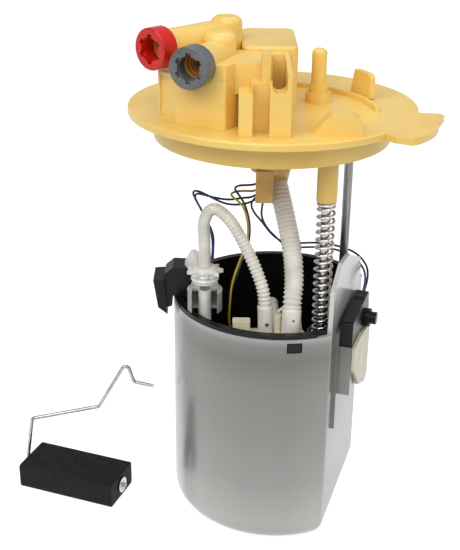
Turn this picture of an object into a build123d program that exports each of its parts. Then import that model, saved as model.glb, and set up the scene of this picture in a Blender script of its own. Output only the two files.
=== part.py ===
"""In-tank fuel pump module: sprung tank flange on two guide rods over a swirl pot.

Frame: millimetres, +Z up. The origin is on the flange's axis, at the level of the pot's underside.
X runs to the level sender's side and Y runs to the back.
"""
import math
import os

from build123d import *

os.makedirs("parts", exist_ok=True)

# ------------------------------------------------------------------ swirl pot
pot_x = 5.3  # the pot's axis stands this far from the flange's axis
pot_radius = 56.2
pot_wall = 2.2
pot_floor = 2.5
pot_bottom_fillet = 12.0
pot_rim_z = 125.0
pot_corner_radius = 3.0
flat_offset = 39.3  # from the pot's axis to the sender's flat
flat_angle = -17.2  # direction that the flat faces, from +X
shoulder_top_z = 155.0
shoulder_return = 4.0  # how far the raised wall wraps back round the corner
shoulder_crest = (-22.0, 157.0)  # front end of its level top: along the flat, and height
shoulder_front = (-38.5, 148.0)  # where its slanting front edge turns down to the rim
cup_gap = 0.3
cup_wall = 1.8
cup_floor = 2.0
cup_rim_rise = 2.0
cup_lip_setback = 0.6
latch_angle = -83.0
latch_z = 120.3
latch_width = 6.8
latch_height = 4.8
latch_clearance = 0.5
intake_x, intake_y = -20.0, -24.0
intake_hole_radius = 1.5
intake_circle_radius = 5.0
intake_recess_radius = 11.0
intake_recess_depth = 1.2
shelf_length, shelf_width, shelf_thickness = 36.0, 24.0, 8.0
valve_disc_radius = 8.0
valve_disc_thickness = 1.2
valve_stem_radius = 1.6
strainer_length, strainer_width, strainer_thickness = 58.0, 34.0, 5.5
strainer_shift = (8.0, 6.0)  # from the pump's axis

# ------------------------------------------------------------------ guide rods and spring
rod_radius = 2.4
rod_clearance = 0.07
rod_front = (27.0, -29.0)
rod_rear = (42.7, 20.0)
rod_press_gap = 0.02
guide_bottom_z = 90.0
guide_front_radius = 7.0
guide_rear_radius = 6.0
guide_rear_top_z = 124.0
spring_seat_z = 115.0
spring_seat_rim = 2.0
spring_seat_clearance = 0.5
spring_turns = 17.0
spring_coil_radius = 4.2
spring_wire = 1.6
spring_end_gap = 0.05
clip_thickness = 0.8
clip_reach = 1.7  # beyond the rod's surface
clip_groove_depth = 0.5
clip_gap = 0.2
rod_tail = 4.0  # below the clip

# ------------------------------------------------------------------ flange
flange_top_z = 231.0
flange_radius = 73.0
flange_thickness = 3.5
skirt_radius = 60.2
skirt_wall = 2.2
skirt_depth = 15.7  # from the flange's top face
skirt_taper = 0.8
skirt_root = 1.0  # its root stands in a groove of this depth in the disc
joint_gap = 0.05  # between the flange's own mouldings where one closes round another
rib_count = 8
rib_thickness = 1.6
rib_height = 5.0
rib_inner_radius = 44.0
front_sleeve_radius = 5.2
front_sleeve_z = 189.2
rear_sleeve_radius = 4.6
rear_sleeve_z = 217.0

block_height = 23.0
block_right = -14.0
block_back = 16.0
block_corner_radius = 1.2
block_left = (-55.8, -31.4)
block_corner = (-46.7, -41.5)
block_front = (-23.6, -52.4)
block_inset = (-17.6, -42.0)
panel_depth = 1.0
panel_edge = 1.8
tower_height = 31.4
tower_x = (-16.0, 11.3)
tower_y = (-16.0, 33.0)
tower_corner = 4.0
tower_crown_radius = 1.6
tower_wall = 2.4
tower_hollow_height = 14.0
tower_hollow_shift = 4.0  # towards the back
socket_height = 29.6
socket_low = 15.3  # underside of its overhang at the left
socket_x = (-21.6, 6.4)
socket_y = (-45.0, -15.0)
well_x = (-2.2, 4.2)
well_y = (-52.0, -24.0)
well_floor_height = 6.0
shroud_x = (-17.6, 6.4)
shroud_y = (-62.6, -44.0)
shroud_post_height = 19.2
shroud_post_width = 5.8
shroud_height = 23.0
shroud_side_height = 28.6
shroud_side_width = 2.4
raised_left = (-36.4, -46.2)
raised_back = (-26.0, -18.0)
slot_x = (-11.2, -3.6)
slot_depth = 9.0
notch_radius = 3.4
notch_x = 0.8
key_pillar_x = (-7.4, -3.0)
key_pillar_y = (-51.5, -44.0)
key_pillar_height = 35.6

port_front_radius = 7.8
port_leg_fillet = 4.0
port_setback = 2.6  # pipe's front end behind the retainer's face
chamber_radius = 6.0
chamber_length = 11.0
spigot_bore_radius = 4.0
spigot_bore_length = 14.0
port_passage_radius = 3.0
port_passage_length = 7.0
retainer_radius = 9.8
retainer_length = 9.0
retainer_face = 2.4
retainer_opening = 5.6
retainer_clearance = 0.15
finger_count = 6
finger_slot_width = 2.6
finger_slot_reach = 1.3
seal_section_radius = 1.0
red_port_at = (-58.7, -38.0)
red_port_rise = 34.0  # its axis above the flange's top face
red_port_angle = 42.0  # the port's mouth is turned this far from -Y towards -X
red_leg_distance = 52.5  # from the mouth to the upright leg
red_leg_rise = 9.2  # the leg's top above the pipe's axis
grey_port_at = (-40.3, -54.8)
grey_port_rise = 29.0
grey_port_angle = 23.0
grey_leg_distance = 35.5
grey_leg_rise = 10.8
saddle_width = 8.0
saddle_setback = 16.0  # from the mouth

vent_x, vent_y = 23.1, 4.0
vent_boss_radius = 6.4
vent_boss_height = 5.0
vent_collar_radius = 4.9
vent_collar_height = 9.0
vent_pin_radius = 3.8
vent_pin_height = 27.0
vent_pin_dome = 2.6

arc_rib_centre = (-9.8, -20.2)
arc_rib_radius = 60.6
arc_rib_span = (4.0, 71.2)  # degrees from +X
arc_rib_width = 2.0
arc_rib_height = 2.5
fin_from = (42.4, 22.0)
fin_run = (8.6, -16.4)
fin_height = 13.5
fin_thickness = 3.2
fin_corner = 2.6
ramp_y = (-59.0, -50.0)

terminal_count = 5
terminal_pitch = 4.6
terminal_width = 2.4
terminal_thickness = 0.8
terminal_height = 9.0

# ------------------------------------------------------------------ pump
pump_x, pump_y = -6.0, 12.0
pump_radius = 19.0
pump_case_wall = 1.6
pump_case_z = (16.0, 80.0)
pump_shaft_radius = 2.5
pump_bearing_clearance = 0.05
pump_cap_height = 8.0
pump_nozzle_offset = 9.0
pump_nozzle_radius = 4.0
pump_magnet_thickness = 3.0
pump_air_gap = 0.6
armature_z = (30.0, 62.0)
armature_slots = 8
commutator_radius = 7.0
brush_length = 5.0
impeller_radius = 15.0
impeller_thickness = 3.0
impeller_gap = 0.3
holder_z = (38.0, 52.0)
sleeve_thickness = 2.5
holder_wall = 2.0

# ------------------------------------------------------------------ hoses and their fittings
return_hose_radius = 3.3
return_hose_bore = 2.2
return_cuff_radius = 4.2
supply_hose_radius = 5.1
supply_hose_bore = 3.6
supply_cuff_radius = 5.7
hose_fit = 0.2
nipple_height = 8.0
cuff_height = 15.0
manifold_z = (114.0, 121.0)
return_root = (-2.2, -39.0)
supply_root = (10.6, -44.0)
elbow_angle = 211.67  # from +X about the pot's axis
elbow_setback = 10.5  # inside the pot's outer face
elbow_bowl_radius = 9.2
elbow_bowl_height = 11.2
elbow_wall = 1.4
elbow_shoulder_rise = 12.8  # from the bowl's top to the hose's end
elbow_barb_radius = 7.3
elbow_crown_radius = 8.6
elbow_crown_points = 9
jet_tube_radius = 3.4
jet_top_z = 18.8
jet_bottom_z = 9.0
jet_block_radius = 4.6
jet_spout_radius = 2.6
jet_spout_length = 11.0
plug_hold_reach = 7.4  # inside the pot's left-hand face
plug_hold_y = -5.0
plug_y = (-9.0, 5.0)
plug_rise = 16.4  # from the cup's rim to the plug's top
plug_plate_margin = 2.0
nozzle_radius = 10.4
nozzle_collar_z = 196.0
nozzle_block_z = 181.0

# ------------------------------------------------------------------ level sender
sender_s = 8.0  # along the flat, from the pot's axis towards the back
sender_z = 114.5
sender_thickness = 6.5
sender_base_s = (-26.0, 18.0)
sender_base_z = (112.0, 126.0)
hub_radius = 5.0
hub_thickness = 3.2
stub_radius = 3.4
stub_length = 3.2
hub_clearance = 0.08
bracket_thickness = 1.6
bracket_box_low_z = 84.0
bracket_slot_at = (-18.0, 94.0)
plate_thickness = 1.8
sender_head_radius = 12.0
sender_pocket_radius = 10.4
sender_pocket_depth = 4.5
sender_shaft_radius = 2.0
card_thickness = 0.9
wiper_reach = 9.2
sender_socket_s = 24.7
sender_socket_z = (110.5, 120.5)

# ------------------------------------------------------------------ float
float_length = 59.5
float_width = 28.0
float_height = 15.0
float_centre = (-110.0, -2.0)
float_wire_y = 9.2
float_angle = -20.2
float_wire_radius = 1.0
float_wire_clearance = 0.1
float_end_gap = 0.3
wire_overhang = 2.75  # beyond each end of the float
push_nut_radius = 4.5
push_nut_thickness = 0.6
push_nut_slots = 6

# ------------------------------------------------------------------ wiring
wire_radius = 0.6
wire_end_gap = 0.4
harness_at = (0.0, 17.0)
harness_plug_size = (13.0, 9.0)
harness_plug_z = 219.0
bridge_radius = 0.8

# ------------------------------------------------------------------ derived planes and sizes
flange_under_z = flange_top_z - flange_thickness
skirt_bottom_z = flange_top_z - skirt_depth
block_top_z = flange_top_z + block_height
cup_rim_z = pot_rim_z + cup_rim_rise
elbow_bowl_bottom_z = cup_rim_z
elbow_bowl_top_z = elbow_bowl_bottom_z + elbow_bowl_height
elbow_shoulder_z = elbow_bowl_top_z + elbow_shoulder_rise
elbow_at = (
    pot_x + (pot_radius - elbow_setback) * math.cos(math.radians(elbow_angle)),
    (pot_radius - elbow_setback) * math.sin(math.radians(elbow_angle)),
)
pot_left_x = pot_x - pot_radius
plug_hold = (pot_left_x + plug_hold_reach, plug_hold_y)
plug_top_z = cup_rim_z + plug_rise
red_port_face = (*red_port_at, flange_top_z + red_port_rise)
grey_port_face = (*grey_port_at, flange_top_z + grey_port_rise)
ports = (
    (grey_port_face, grey_port_angle, grey_leg_distance, grey_leg_rise),
    (red_port_face, red_port_angle, red_leg_distance, red_leg_rise),
)
cup_inset = pot_wall + cup_gap
cavity_inset = cup_inset + cup_wall
cavity_floor_z = pot_floor + cup_floor
clip_z = guide_bottom_z - clip_gap - clip_thickness
rod_bottom_z = clip_z - rod_tail
tower_hollow_at = ((tower_x[0] + tower_x[1]) / 2, (tower_y[0] + tower_y[1]) / 2 + tower_hollow_shift)
tower_hollow_size = (
    tower_x[1] - tower_x[0] - 2 * tower_wall,
    tower_y[1] - tower_y[0] - 2 * tower_wall - 2 * tower_hollow_shift,
)
flat_cos = math.cos(math.radians(flat_angle))
flat_sin = math.sin(math.radians(flat_angle))


def flat_plane(offset):
    """Plane parallel to the sender's flat: local X runs back along it, local Y is up."""
    return Plane(
        origin=(pot_x + offset * flat_cos, offset * flat_sin, 0),
        x_dir=(-flat_sin, flat_cos, 0),
        z_dir=(flat_cos, flat_sin, 0),
    )


def pot_outline(inset):
    """The pot's plan, a circle with one flat, drawn inset from its outer face."""
    beyond = flat_offset - inset + pot_radius
    with BuildSketch() as outline:
        with Locations((pot_x, 0)):
            Circle(pot_radius - inset)
        with Locations((pot_x + beyond * flat_cos, beyond * flat_sin)):
            Rectangle(2 * pot_radius, 3 * pot_radius, rotation=flat_angle, mode=Mode.SUBTRACT)
        fillet(outline.vertices(), radius=max(pot_corner_radius - inset / 2, 0.5))
    return outline.sketch


def pot_solid(inset, low, high, bottom_radius):
    """The pot's plan pulled up from low to high, with a rounded bottom edge."""
    with BuildPart() as solid:
        with BuildSketch(Plane.XY.offset(low)):
            add(pot_outline(inset))
        extrude(amount=high - low)
        fillet(solid.faces().sort_by(Axis.Z)[0].edges(), radius=bottom_radius)
    return solid.part


def span(pair):
    """Length of a (low, high) pair."""
    return pair[1] - pair[0]


def middle(pair):
    """Centre of a (low, high) pair."""
    return (pair[0] + pair[1]) / 2


def port_plane(face, angle, depth):
    """Plane across a port, depth behind its face: local Z runs into the housing."""
    inward = Vector(math.sin(math.radians(angle)), math.cos(math.radians(angle)), 0)
    across = Vector(inward.Y, -inward.X, 0)
    return Plane(origin=Vector(*face) + inward * depth, x_dir=across, z_dir=inward)


def bend_radii(points, share=0.45):
    """Radius at each corner of a route: as large as its two runs allow."""
    radii = []
    for before, corner, after in zip(points, points[1:], points[2:]):
        run_in = Vector(*corner) - Vector(*before)
        run_out = Vector(*after) - Vector(*corner)
        half_turn = math.radians(run_in.get_angle(run_out)) / 2
        radii.append(share * min(run_in.length, run_out.length) / math.tan(half_turn))
    return radii


def routed_tube(name, points, radius, bore=0.0, bend_limit=1000.0):
    """Round tube along straight runs joined by tangent arcs."""
    radii = [min(bend, bend_limit) for bend in bend_radii(points)]
    with BuildPart() as tube:
        with BuildLine() as route:
            FilletPolyline(*points, radius=radii)
        start = Plane(origin=points[0], z_dir=Vector(*points[1]) - Vector(*points[0]))
        with BuildSketch(start):
            Circle(radius)
            if bore:
                Circle(bore, mode=Mode.SUBTRACT)
        sweep(path=route.wire())
    length = route.wire().length
    ideal = math.pi * (radius**2 - bore**2) * length
    print(f"{name}: length {length:.1f}, smallest bend {min(radii):.1f}, volume {tube.part.volume / ideal:.4f}")
    return tube.part


def save(solid, name):
    """Label a finished piece and write it."""
    solid.label = name
    export_step(solid, f"parts/{name}.step")


# ------------------------------------------------------------------ swirl pot pieces
with BuildPart() as reservoir_shell:
    add(pot_solid(0, 0, pot_rim_z, pot_bottom_fillet))
    # the wall on the sender's side rises above the rim, level at first, then falling to the back
    with BuildSketch(Plane.XY.offset(pot_rim_z)):
        add(pot_outline(0))
        add(pot_outline(pot_wall), mode=Mode.SUBTRACT)
        with Locations((pot_x + flat_offset * flat_cos, flat_offset * flat_sin)):
            Rectangle(2 * shoulder_return, 2 * pot_radius, rotation=flat_angle, mode=Mode.INTERSECT)
    extrude(amount=shoulder_crest[1] - pot_rim_z)
    with BuildSketch(flat_plane(flat_offset)):
        with BuildLine():
            above = shoulder_crest[1] + 1
            low = pot_rim_z
            Polyline((-4, above), (-4, shoulder_top_z), (30, 140), (36, low), (60, low), (60, above), close=True)
        make_face()
        with BuildLine():
            Polyline(
                (-60, low),
                (shoulder_front[0] - 1, low),
                shoulder_front,
                shoulder_crest,
                (-4, shoulder_top_z),
                (-4, above),
                (-60, above),
                close=True,
            )
        make_face()
    extrude(amount=pot_radius, both=True, mode=Mode.SUBTRACT)
    cavity = pot_solid(pot_wall, pot_floor, pot_rim_z + 1, pot_bottom_fillet - pot_floor)
    add(cavity, mode=Mode.SUBTRACT)
    # window for the cup's latch
    with Locations(Location((pot_x, 0, latch_z), (0, 0, latch_angle))):
        Box(
            2 * pot_radius,
            latch_width + 2 * latch_clearance,
            latch_height + 2 * latch_clearance,
            align=(Align.MIN, Align.CENTER, Align.CENTER),
            mode=Mode.SUBTRACT,
        )
    # intake through the floor, in a shallow recess
    with Locations((intake_x, intake_y, 0)):
        Cylinder(
            intake_recess_radius,
            intake_recess_depth,
            align=(Align.CENTER, Align.CENTER, Align.MIN),
            mode=Mode.SUBTRACT,
        )
        Cylinder(valve_stem_radius + cup_gap, 4 * pot_floor, mode=Mode.SUBTRACT)
        with PolarLocations(intake_circle_radius, 6):
            Cylinder(intake_hole_radius, 4 * pot_floor, mode=Mode.SUBTRACT)
save(reservoir_shell.part, "reservoir_shell")

with BuildPart() as inner_cup:
    add(pot_solid(cup_inset, pot_floor, cup_rim_z, pot_bottom_fillet - cup_inset))
    # lip that rests on the pot's rim, left out where the raised wall stands
    with BuildSketch(Plane.XY.offset(pot_rim_z)):
        add(pot_outline(cup_lip_setback))
        clear_of_wall = flat_offset - pot_wall - cup_gap - pot_radius - shoulder_return
        with Locations((pot_x + clear_of_wall * flat_cos, clear_of_wall * flat_sin)):
            Rectangle(2 * pot_radius, 3 * pot_radius, rotation=flat_angle, mode=Mode.INTERSECT)
    extrude(amount=cup_rim_rise)
    add(pot_solid(cavity_inset, cavity_floor_z, cup_rim_z + 1, pot_bottom_fillet - cavity_inset), mode=Mode.SUBTRACT)
    # shelf under the outlet manifold
    with BuildSketch(Plane.XY.offset(manifold_z[0] - shelf_thickness)):
        add(pot_outline(cup_inset + cup_wall / 2))
        with Locations((0, -pot_radius)):
            Rectangle(shelf_length, shelf_width, mode=Mode.INTERSECT)
    extrude(amount=shelf_thickness)
    # latch that snaps into the pot's window
    with Locations(Location((pot_x, 0, latch_z), (0, 0, latch_angle))):
        with Locations((pot_radius - cup_lip_setback, 0, 0)):
            Box(
                pot_wall + cup_wall,
                latch_width,
                latch_height,
                align=(Align.MAX, Align.CENTER, Align.CENTER),
            )
    # intake holes
    with Locations((intake_x, intake_y, 0)):
        Cylinder(valve_stem_radius + cup_gap, 4 * cavity_floor_z, mode=Mode.SUBTRACT)
        with PolarLocations(intake_circle_radius, 6):
            Cylinder(intake_hole_radius, 4 * cavity_floor_z, mode=Mode.SUBTRACT)
save(inner_cup.part, "inner_cup")

# guide towers for the two rods, standing against the cup's flat wall
with BuildPart() as rod_guides:
    for rod, radius, guide_top_z in (
        (rod_front, guide_front_radius, spring_seat_z + spring_seat_rim),
        (rod_rear, guide_rear_radius, guide_rear_top_z),
    ):
        with BuildSketch(Plane.XY.offset(guide_bottom_z)):
            with Locations(rod):
                Circle(radius)
                Rectangle(2 * pot_radius, 1.4 * radius, rotation=flat_angle, align=(Align.MIN, Align.CENTER))
            add(pot_outline(cavity_inset), mode=Mode.INTERSECT)
        extrude(amount=guide_top_z - guide_bottom_z)
    with Locations((*rod_front, spring_seat_z)):
        Cylinder(
            spring_coil_radius + spring_wire / 2 + spring_seat_clearance,
            2 * spring_seat_rim,
            align=(Align.CENTER, Align.CENTER, Align.MIN),
            mode=Mode.SUBTRACT,
        )
    with Locations((*rod_front, guide_bottom_z), (*rod_rear, guide_bottom_z)):
        Cylinder(rod_radius + rod_clearance, 4 * guide_bottom_z, mode=Mode.SUBTRACT)
save(rod_guides.part, "rod_guides")

with BuildPart() as foot_valve:
    with Locations((intake_x, intake_y, cavity_floor_z)):
        Cylinder(valve_disc_radius, valve_disc_thickness, align=(Align.CENTER, Align.CENTER, Align.MIN))
    with Locations((intake_x, intake_y, intake_recess_depth)):
        Cylinder(valve_stem_radius, cavity_floor_z, align=(Align.CENTER, Align.CENTER, Align.MIN))
    with Locations((intake_x, intake_y, intake_recess_depth)):
        Cylinder(
            2 * valve_stem_radius,
            intake_recess_depth - 0.1,
            align=(Align.CENTER, Align.CENTER, Align.MAX),
        )
save(foot_valve.part, "foot_valve")

with BuildPart() as suction_strainer:
    with BuildSketch(Plane.XY.offset(cavity_floor_z + cup_gap)):
        with Locations((pump_x + strainer_shift[0], pump_y + strainer_shift[1])):
            SlotOverall(strainer_length, strainer_width)
    extrude(amount=strainer_thickness)
    fillet(suction_strainer.edges().filter_by(GeomType.CIRCLE), radius=1.5)
save(suction_strainer.part, "suction_strainer")

# ------------------------------------------------------------------ pump
case_low, case_high = pump_case_z
inner_radius = pump_radius - pump_case_wall
cover_top_z = case_low + 2.0
impeller_z = cover_top_z + impeller_gap
plate_low_z = impeller_z + impeller_thickness + impeller_gap
bearing_radius = pump_shaft_radius + pump_bearing_clearance
cap_low_z = case_high - 6.0
axis_at = Plane(origin=(pump_x, pump_y, 0))

with BuildPart() as pump_case:
    with BuildSketch(axis_at.offset(case_low)):
        Circle(pump_radius)
        Circle(inner_radius, mode=Mode.SUBTRACT)
    extrude(amount=case_high - case_low)
save(pump_case.part, "pump_case")

with BuildPart() as pump_inlet_cover:
    with BuildSketch(axis_at.offset(case_low - 4)):
        Circle(pump_radius)
    extrude(amount=4)
    with BuildSketch(axis_at.offset(case_low)):
        Circle(inner_radius)
    extrude(amount=2)
    fillet(pump_inlet_cover.faces().sort_by(Axis.Z)[0].edges(), radius=1.5)
    # inlet spigot that stands in the strainer, and the port up to the impeller
    with BuildSketch(axis_at.offset(case_low - 4)):
        with Locations((10, 4)):
            Circle(4.2)
    extrude(amount=-(case_low - 4 - (cavity_floor_z + cup_gap + strainer_thickness)))
    with Locations((pump_x + 10, pump_y + 4, case_low)):
        Cylinder(2.6, 4 * pump_case_wall + 16, mode=Mode.SUBTRACT)
    with Locations((pump_x, pump_y, cover_top_z)):
        Cylinder(bearing_radius, 2 * 3.0, mode=Mode.SUBTRACT)
save(pump_inlet_cover.part, "pump_inlet_cover")

with BuildPart() as pump_pressure_plate:
    with BuildSketch(axis_at.offset(plate_low_z)):
        Circle(inner_radius)
        Circle(bearing_radius, mode=Mode.SUBTRACT)
        with Locations((-11, 0)):
            Circle(2.2, mode=Mode.SUBTRACT)
    extrude(amount=4)
save(pump_pressure_plate.part, "pump_pressure_plate")

with BuildPart() as pump_impeller:
    with BuildSketch(axis_at.offset(impeller_z)):
        Circle(impeller_radius)
        Circle(pump_shaft_radius, mode=Mode.SUBTRACT)
        with PolarLocations(impeller_radius - 1.2, 20):
            Rectangle(3.2, 1.9, mode=Mode.SUBTRACT)
    extrude(amount=impeller_thickness)
save(pump_impeller.part, "pump_impeller")

with BuildPart() as pump_magnets:
    magnet_outer = inner_radius
    magnet_inner = inner_radius - pump_magnet_thickness
    with BuildSketch(axis_at.offset(armature_z[0] - 3)):
        Circle(magnet_outer)
        Circle(magnet_inner, mode=Mode.SUBTRACT)
        Rectangle(9, 3 * pump_radius, mode=Mode.SUBTRACT)
    extrude(amount=span(armature_z) + 6)
save(pump_magnets.part, "pump_magnets")

with BuildPart() as pump_armature:
    armature_radius = magnet_inner - pump_air_gap
    with BuildSketch(axis_at.offset(armature_z[0])):
        Circle(armature_radius)
        Circle(pump_shaft_radius, mode=Mode.SUBTRACT)
        with PolarLocations(armature_radius - 2.5, armature_slots):
            Rectangle(6, 1.6, mode=Mode.SUBTRACT)
    extrude(amount=span(armature_z))
save(pump_armature.part, "pump_armature")

with BuildPart() as pump_commutator:
    commutator_z = armature_z[1] + 2
    with BuildSketch(axis_at.offset(commutator_z)):
        Circle(commutator_radius)
        Circle(pump_shaft_radius, mode=Mode.SUBTRACT)
        with PolarLocations(commutator_radius - 0.4, armature_slots, start_angle=180 / armature_slots):
            Rectangle(1.2, 0.7, mode=Mode.SUBTRACT)
    extrude(amount=cap_low_z - commutator_z - 2)
save(pump_commutator.part, "pump_commutator")

with BuildPart() as pump_shaft:
    with BuildSketch(axis_at.offset(cover_top_z - 2.5)):
        Circle(pump_shaft_radius)
    extrude(amount=cap_low_z + 4 - (cover_top_z - 2.5))
save(pump_shaft.part, "pump_shaft")

with BuildPart() as pump_cap:
    with BuildSketch(axis_at.offset(cap_low_z)):
        Circle(inner_radius)
    extrude(amount=case_high - cap_low_z)
    with BuildSketch(axis_at.offset(case_high)):
        Circle(pump_radius)
    extrude(amount=pump_cap_height)
    fillet(pump_cap.faces().sort_by(Axis.Z)[-1].edges(), radius=2)
    # outlet nozzle, with its passage, and the upper bearing
    with BuildSketch(axis_at.offset(case_high + pump_cap_height)):
        with Locations((pump_nozzle_offset, 0)):
            Circle(pump_nozzle_radius)
    extrude(amount=6)
    with Locations((pump_x + pump_nozzle_offset, pump_y, case_high)):
        Cylinder(2.2, 60, mode=Mode.SUBTRACT)
    with Locations((pump_x, pump_y, cap_low_z)):
        Cylinder(bearing_radius, 2 * 4.5, mode=Mode.SUBTRACT)
    # two terminal posts
    with BuildSketch(axis_at.offset(case_high + pump_cap_height)):
        with Locations((-9, -6), (-9, 6)):
            Rectangle(5, 4)
    extrude(amount=5)
save(pump_cap.part, "pump_cap")

with BuildPart() as pump_brushes:
    brush_from = commutator_radius + 0.2
    with BuildSketch(axis_at.offset(commutator_z + 2)):
        with Locations((brush_from, 0)):
            Rectangle(brush_length, 4, align=(Align.MIN, Align.CENTER))
        with Locations((-brush_from, 0)):
            Rectangle(brush_length, 4, align=(Align.MAX, Align.CENTER))
    extrude(amount=cap_low_z - commutator_z - 2)
save(pump_brushes.part, "pump_brushes")

with BuildPart() as pump_sleeve:
    with BuildSketch(axis_at.offset(holder_z[0] - 2)):
        Circle(pump_radius + sleeve_thickness)
        Circle(pump_radius, mode=Mode.SUBTRACT)
    extrude(amount=span(holder_z) + 4)
save(pump_sleeve.part, "pump_sleeve")

with BuildPart() as pump_holder:
    holder_radius = pump_radius + sleeve_thickness
    with BuildSketch(Plane.XY.offset(holder_z[0])):
        with Locations((pump_x, pump_y)):
            Circle(holder_radius + holder_wall)
            with PolarLocations(pot_radius, 3, start_angle=-65):
                Rectangle(2 * pot_radius, 4)
        add(pot_outline(cavity_inset), mode=Mode.INTERSECT)
        with Locations((pump_x, pump_y)):
            Circle(holder_radius, mode=Mode.SUBTRACT)
    extrude(amount=span(holder_z))
save(pump_holder.part, "pump_holder")

# ------------------------------------------------------------------ outlet manifold, elbow and hoses
with BuildPart() as outlet_manifold:
    low, high = manifold_z
    with BuildSketch(Plane.XY.offset(low)):
        with Locations((-1, -42)):
            RectangleRounded(38, 15, 4)
        add(pot_outline(cavity_inset + cup_gap), mode=Mode.INTERSECT)
    extrude(amount=high - low)
    # nipples for the two hoses
    for root, radius, rise in (
        (return_root, return_hose_bore - hose_fit, nipple_height),
        (supply_root, supply_hose_bore - hose_fit, nipple_height),
    ):
        with BuildSketch(Plane.XY.offset(high)):
            with Locations(root):
                Circle(radius)
                Circle(radius - 1, mode=Mode.SUBTRACT)
        extrude(amount=rise)
    # clip block and valve block on the plate
    with BuildSketch(Plane.XY.offset(high)):
        with Locations((-14.5, -38.5)):
            RectangleRounded(9, 6, 1)
    extrude(amount=6.5)
    with BuildSketch(Plane.XY.offset(high)):
        with Locations((4.1, -38.5)):
            RectangleRounded(3.6, 5, 1)
    extrude(amount=10)
save(outlet_manifold.part, "outlet_manifold")

save(
    routed_tube(
        "outlet_pipe",
        [
            (pump_x + pump_nozzle_offset, pump_y, case_high + pump_cap_height + 6),
            (pump_x + pump_nozzle_offset, pump_y, 117.5),
            (pump_x + pump_nozzle_offset, -34.5, 117.5),
        ],
        3.2,
        2.2,
    ),
    "outlet_pipe",
)

return_route = [
    (*return_root, manifold_z[1]),
    (return_root[0], return_root[1], 140.0),
    (-6.5, -35.5, 152.5),
    (-13.5, -31.0, 166.5),
    (-20.5, -27.5, 178.0),
    (-29.5, -24.5, 184.5),
    (-34.6, -23.8, 176.0),
    (elbow_at[0], elbow_at[1], 165.0),
    (*elbow_at, elbow_shoulder_z),
]
with BuildPart() as return_hose:
    add(routed_tube("return_hose", return_route, return_hose_radius, return_hose_bore))
    with BuildSketch(Plane.XY.offset(manifold_z[1])):
        with Locations(return_root):
            Circle(return_cuff_radius)
            Circle(return_hose_radius - hose_fit, mode=Mode.SUBTRACT)
    extrude(amount=cuff_height)
save(return_hose.part, "return_hose")

supply_route = [
    (*supply_root, manifold_z[1]),
    (*supply_root, 137.0),
    (12.3, -34.0, 150.0),
    (10.8, -21.5, 162.5),
    (7.6, -8.5, 175.0),
    (4.0, 1.5, 187.5),
]
with BuildPart() as supply_hose:
    add(routed_tube("supply_hose", supply_route, supply_hose_radius, supply_hose_bore))
    with BuildSketch(Plane.XY.offset(manifold_z[1])):
        with Locations(supply_root):
            Circle(supply_cuff_radius)
            Circle(supply_hose_radius - hose_fit, mode=Mode.SUBTRACT)
    extrude(amount=cuff_height)
save(supply_hose.part, "supply_hose")

# ------------------------------------------------------------------ flange cover
under = Plane.XY.offset(flange_under_z)
top = Plane.XY.offset(flange_top_z)

with BuildPart() as flange_cover:
    # disc with its pull tab
    with BuildSketch(under):
        Circle(flange_radius)
        with BuildLine():
            Polyline((60, -14), (72, -16.2), (81.5, -17.6), (83.2, -20.5), (78.5, -32))
            Spline((78.5, -32), (74.5, -46), (64.5, -59.5))
            Polyline((64.5, -59.5), (61.5, -61), (54.5, -57.8), (40, -40), (60, -14))
        make_face()
    extrude(amount=flange_thickness)
    fillet(flange_cover.faces().sort_by(Axis.Z)[-1].edges().filter_by(GeomType.CIRCLE), radius=0.8)
    # groove for the skirt's root
    with BuildSketch(under):
        Circle(skirt_radius + skirt_taper + joint_gap)
        Circle(skirt_radius - skirt_wall - joint_gap, mode=Mode.SUBTRACT)
    extrude(amount=skirt_root, mode=Mode.SUBTRACT)
    # passage up into the tower
    with BuildSketch(under):
        with Locations(tower_hollow_at):
            RectangleRounded(*tower_hollow_size, tower_corner - tower_wall)
    extrude(amount=flange_thickness, mode=Mode.SUBTRACT)
    # vent pin: boss, collar, pin with a domed tip
    for radius, height in (
        (vent_boss_radius, vent_boss_height),
        (vent_collar_radius, vent_collar_height),
        (vent_pin_radius, vent_pin_height),
    ):
        with BuildSketch(top):
            with Locations((vent_x, vent_y)):
                Circle(radius)
        extrude(amount=height)
    fillet(flange_cover.faces().sort_by(Axis.Z)[-1].edges(), radius=vent_pin_dome)
    # curved rib and upright fin at the right
    with BuildSketch(top):
        with BuildLine():
            rib_arc = CenterArc(arc_rib_centre, arc_rib_radius, arc_rib_span[0], span(arc_rib_span))
        with BuildLine() as rib_edge:
            add(rib_arc)
            offset(amount=arc_rib_width / 2, side=Side.BOTH)
        make_face(rib_edge.edges())
    extrude(amount=arc_rib_height)
    fin_width = math.hypot(*fin_run)
    fin_plane = Plane(origin=(*fin_from, flange_top_z), x_dir=(*fin_run, 0), z_dir=(fin_run[1], -fin_run[0], 0))
    with BuildSketch(fin_plane) as fin:
        with BuildLine():
            Polyline((0, 0), (fin_width, 0), (fin_width - 1, fin_height), (3.5, fin_height), (1.5, 4), close=True)
        make_face()
        fillet(fin.vertices().sort_by(Axis.Z)[-2:], radius=fin_corner)
    extrude(amount=fin_thickness / 2, both=True)
    # ramp block and small vent hole near the front
    with BuildSketch(Plane(origin=(0, ramp_y[1], flange_top_z), x_dir=(1, 0, 0), z_dir=(0, -1, 0))):
        with BuildLine():
            Polyline((16, 0), (25, 10), (34, 10), (38, 7.5), (39.5, 0), close=True)
        make_face()
    extrude(amount=span(ramp_y))
    with Locations((40.3, -30.9, flange_top_z)):
        Cylinder(1.1, 4 * flange_thickness, mode=Mode.SUBTRACT)
save(flange_cover.part, "flange_cover")

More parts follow.
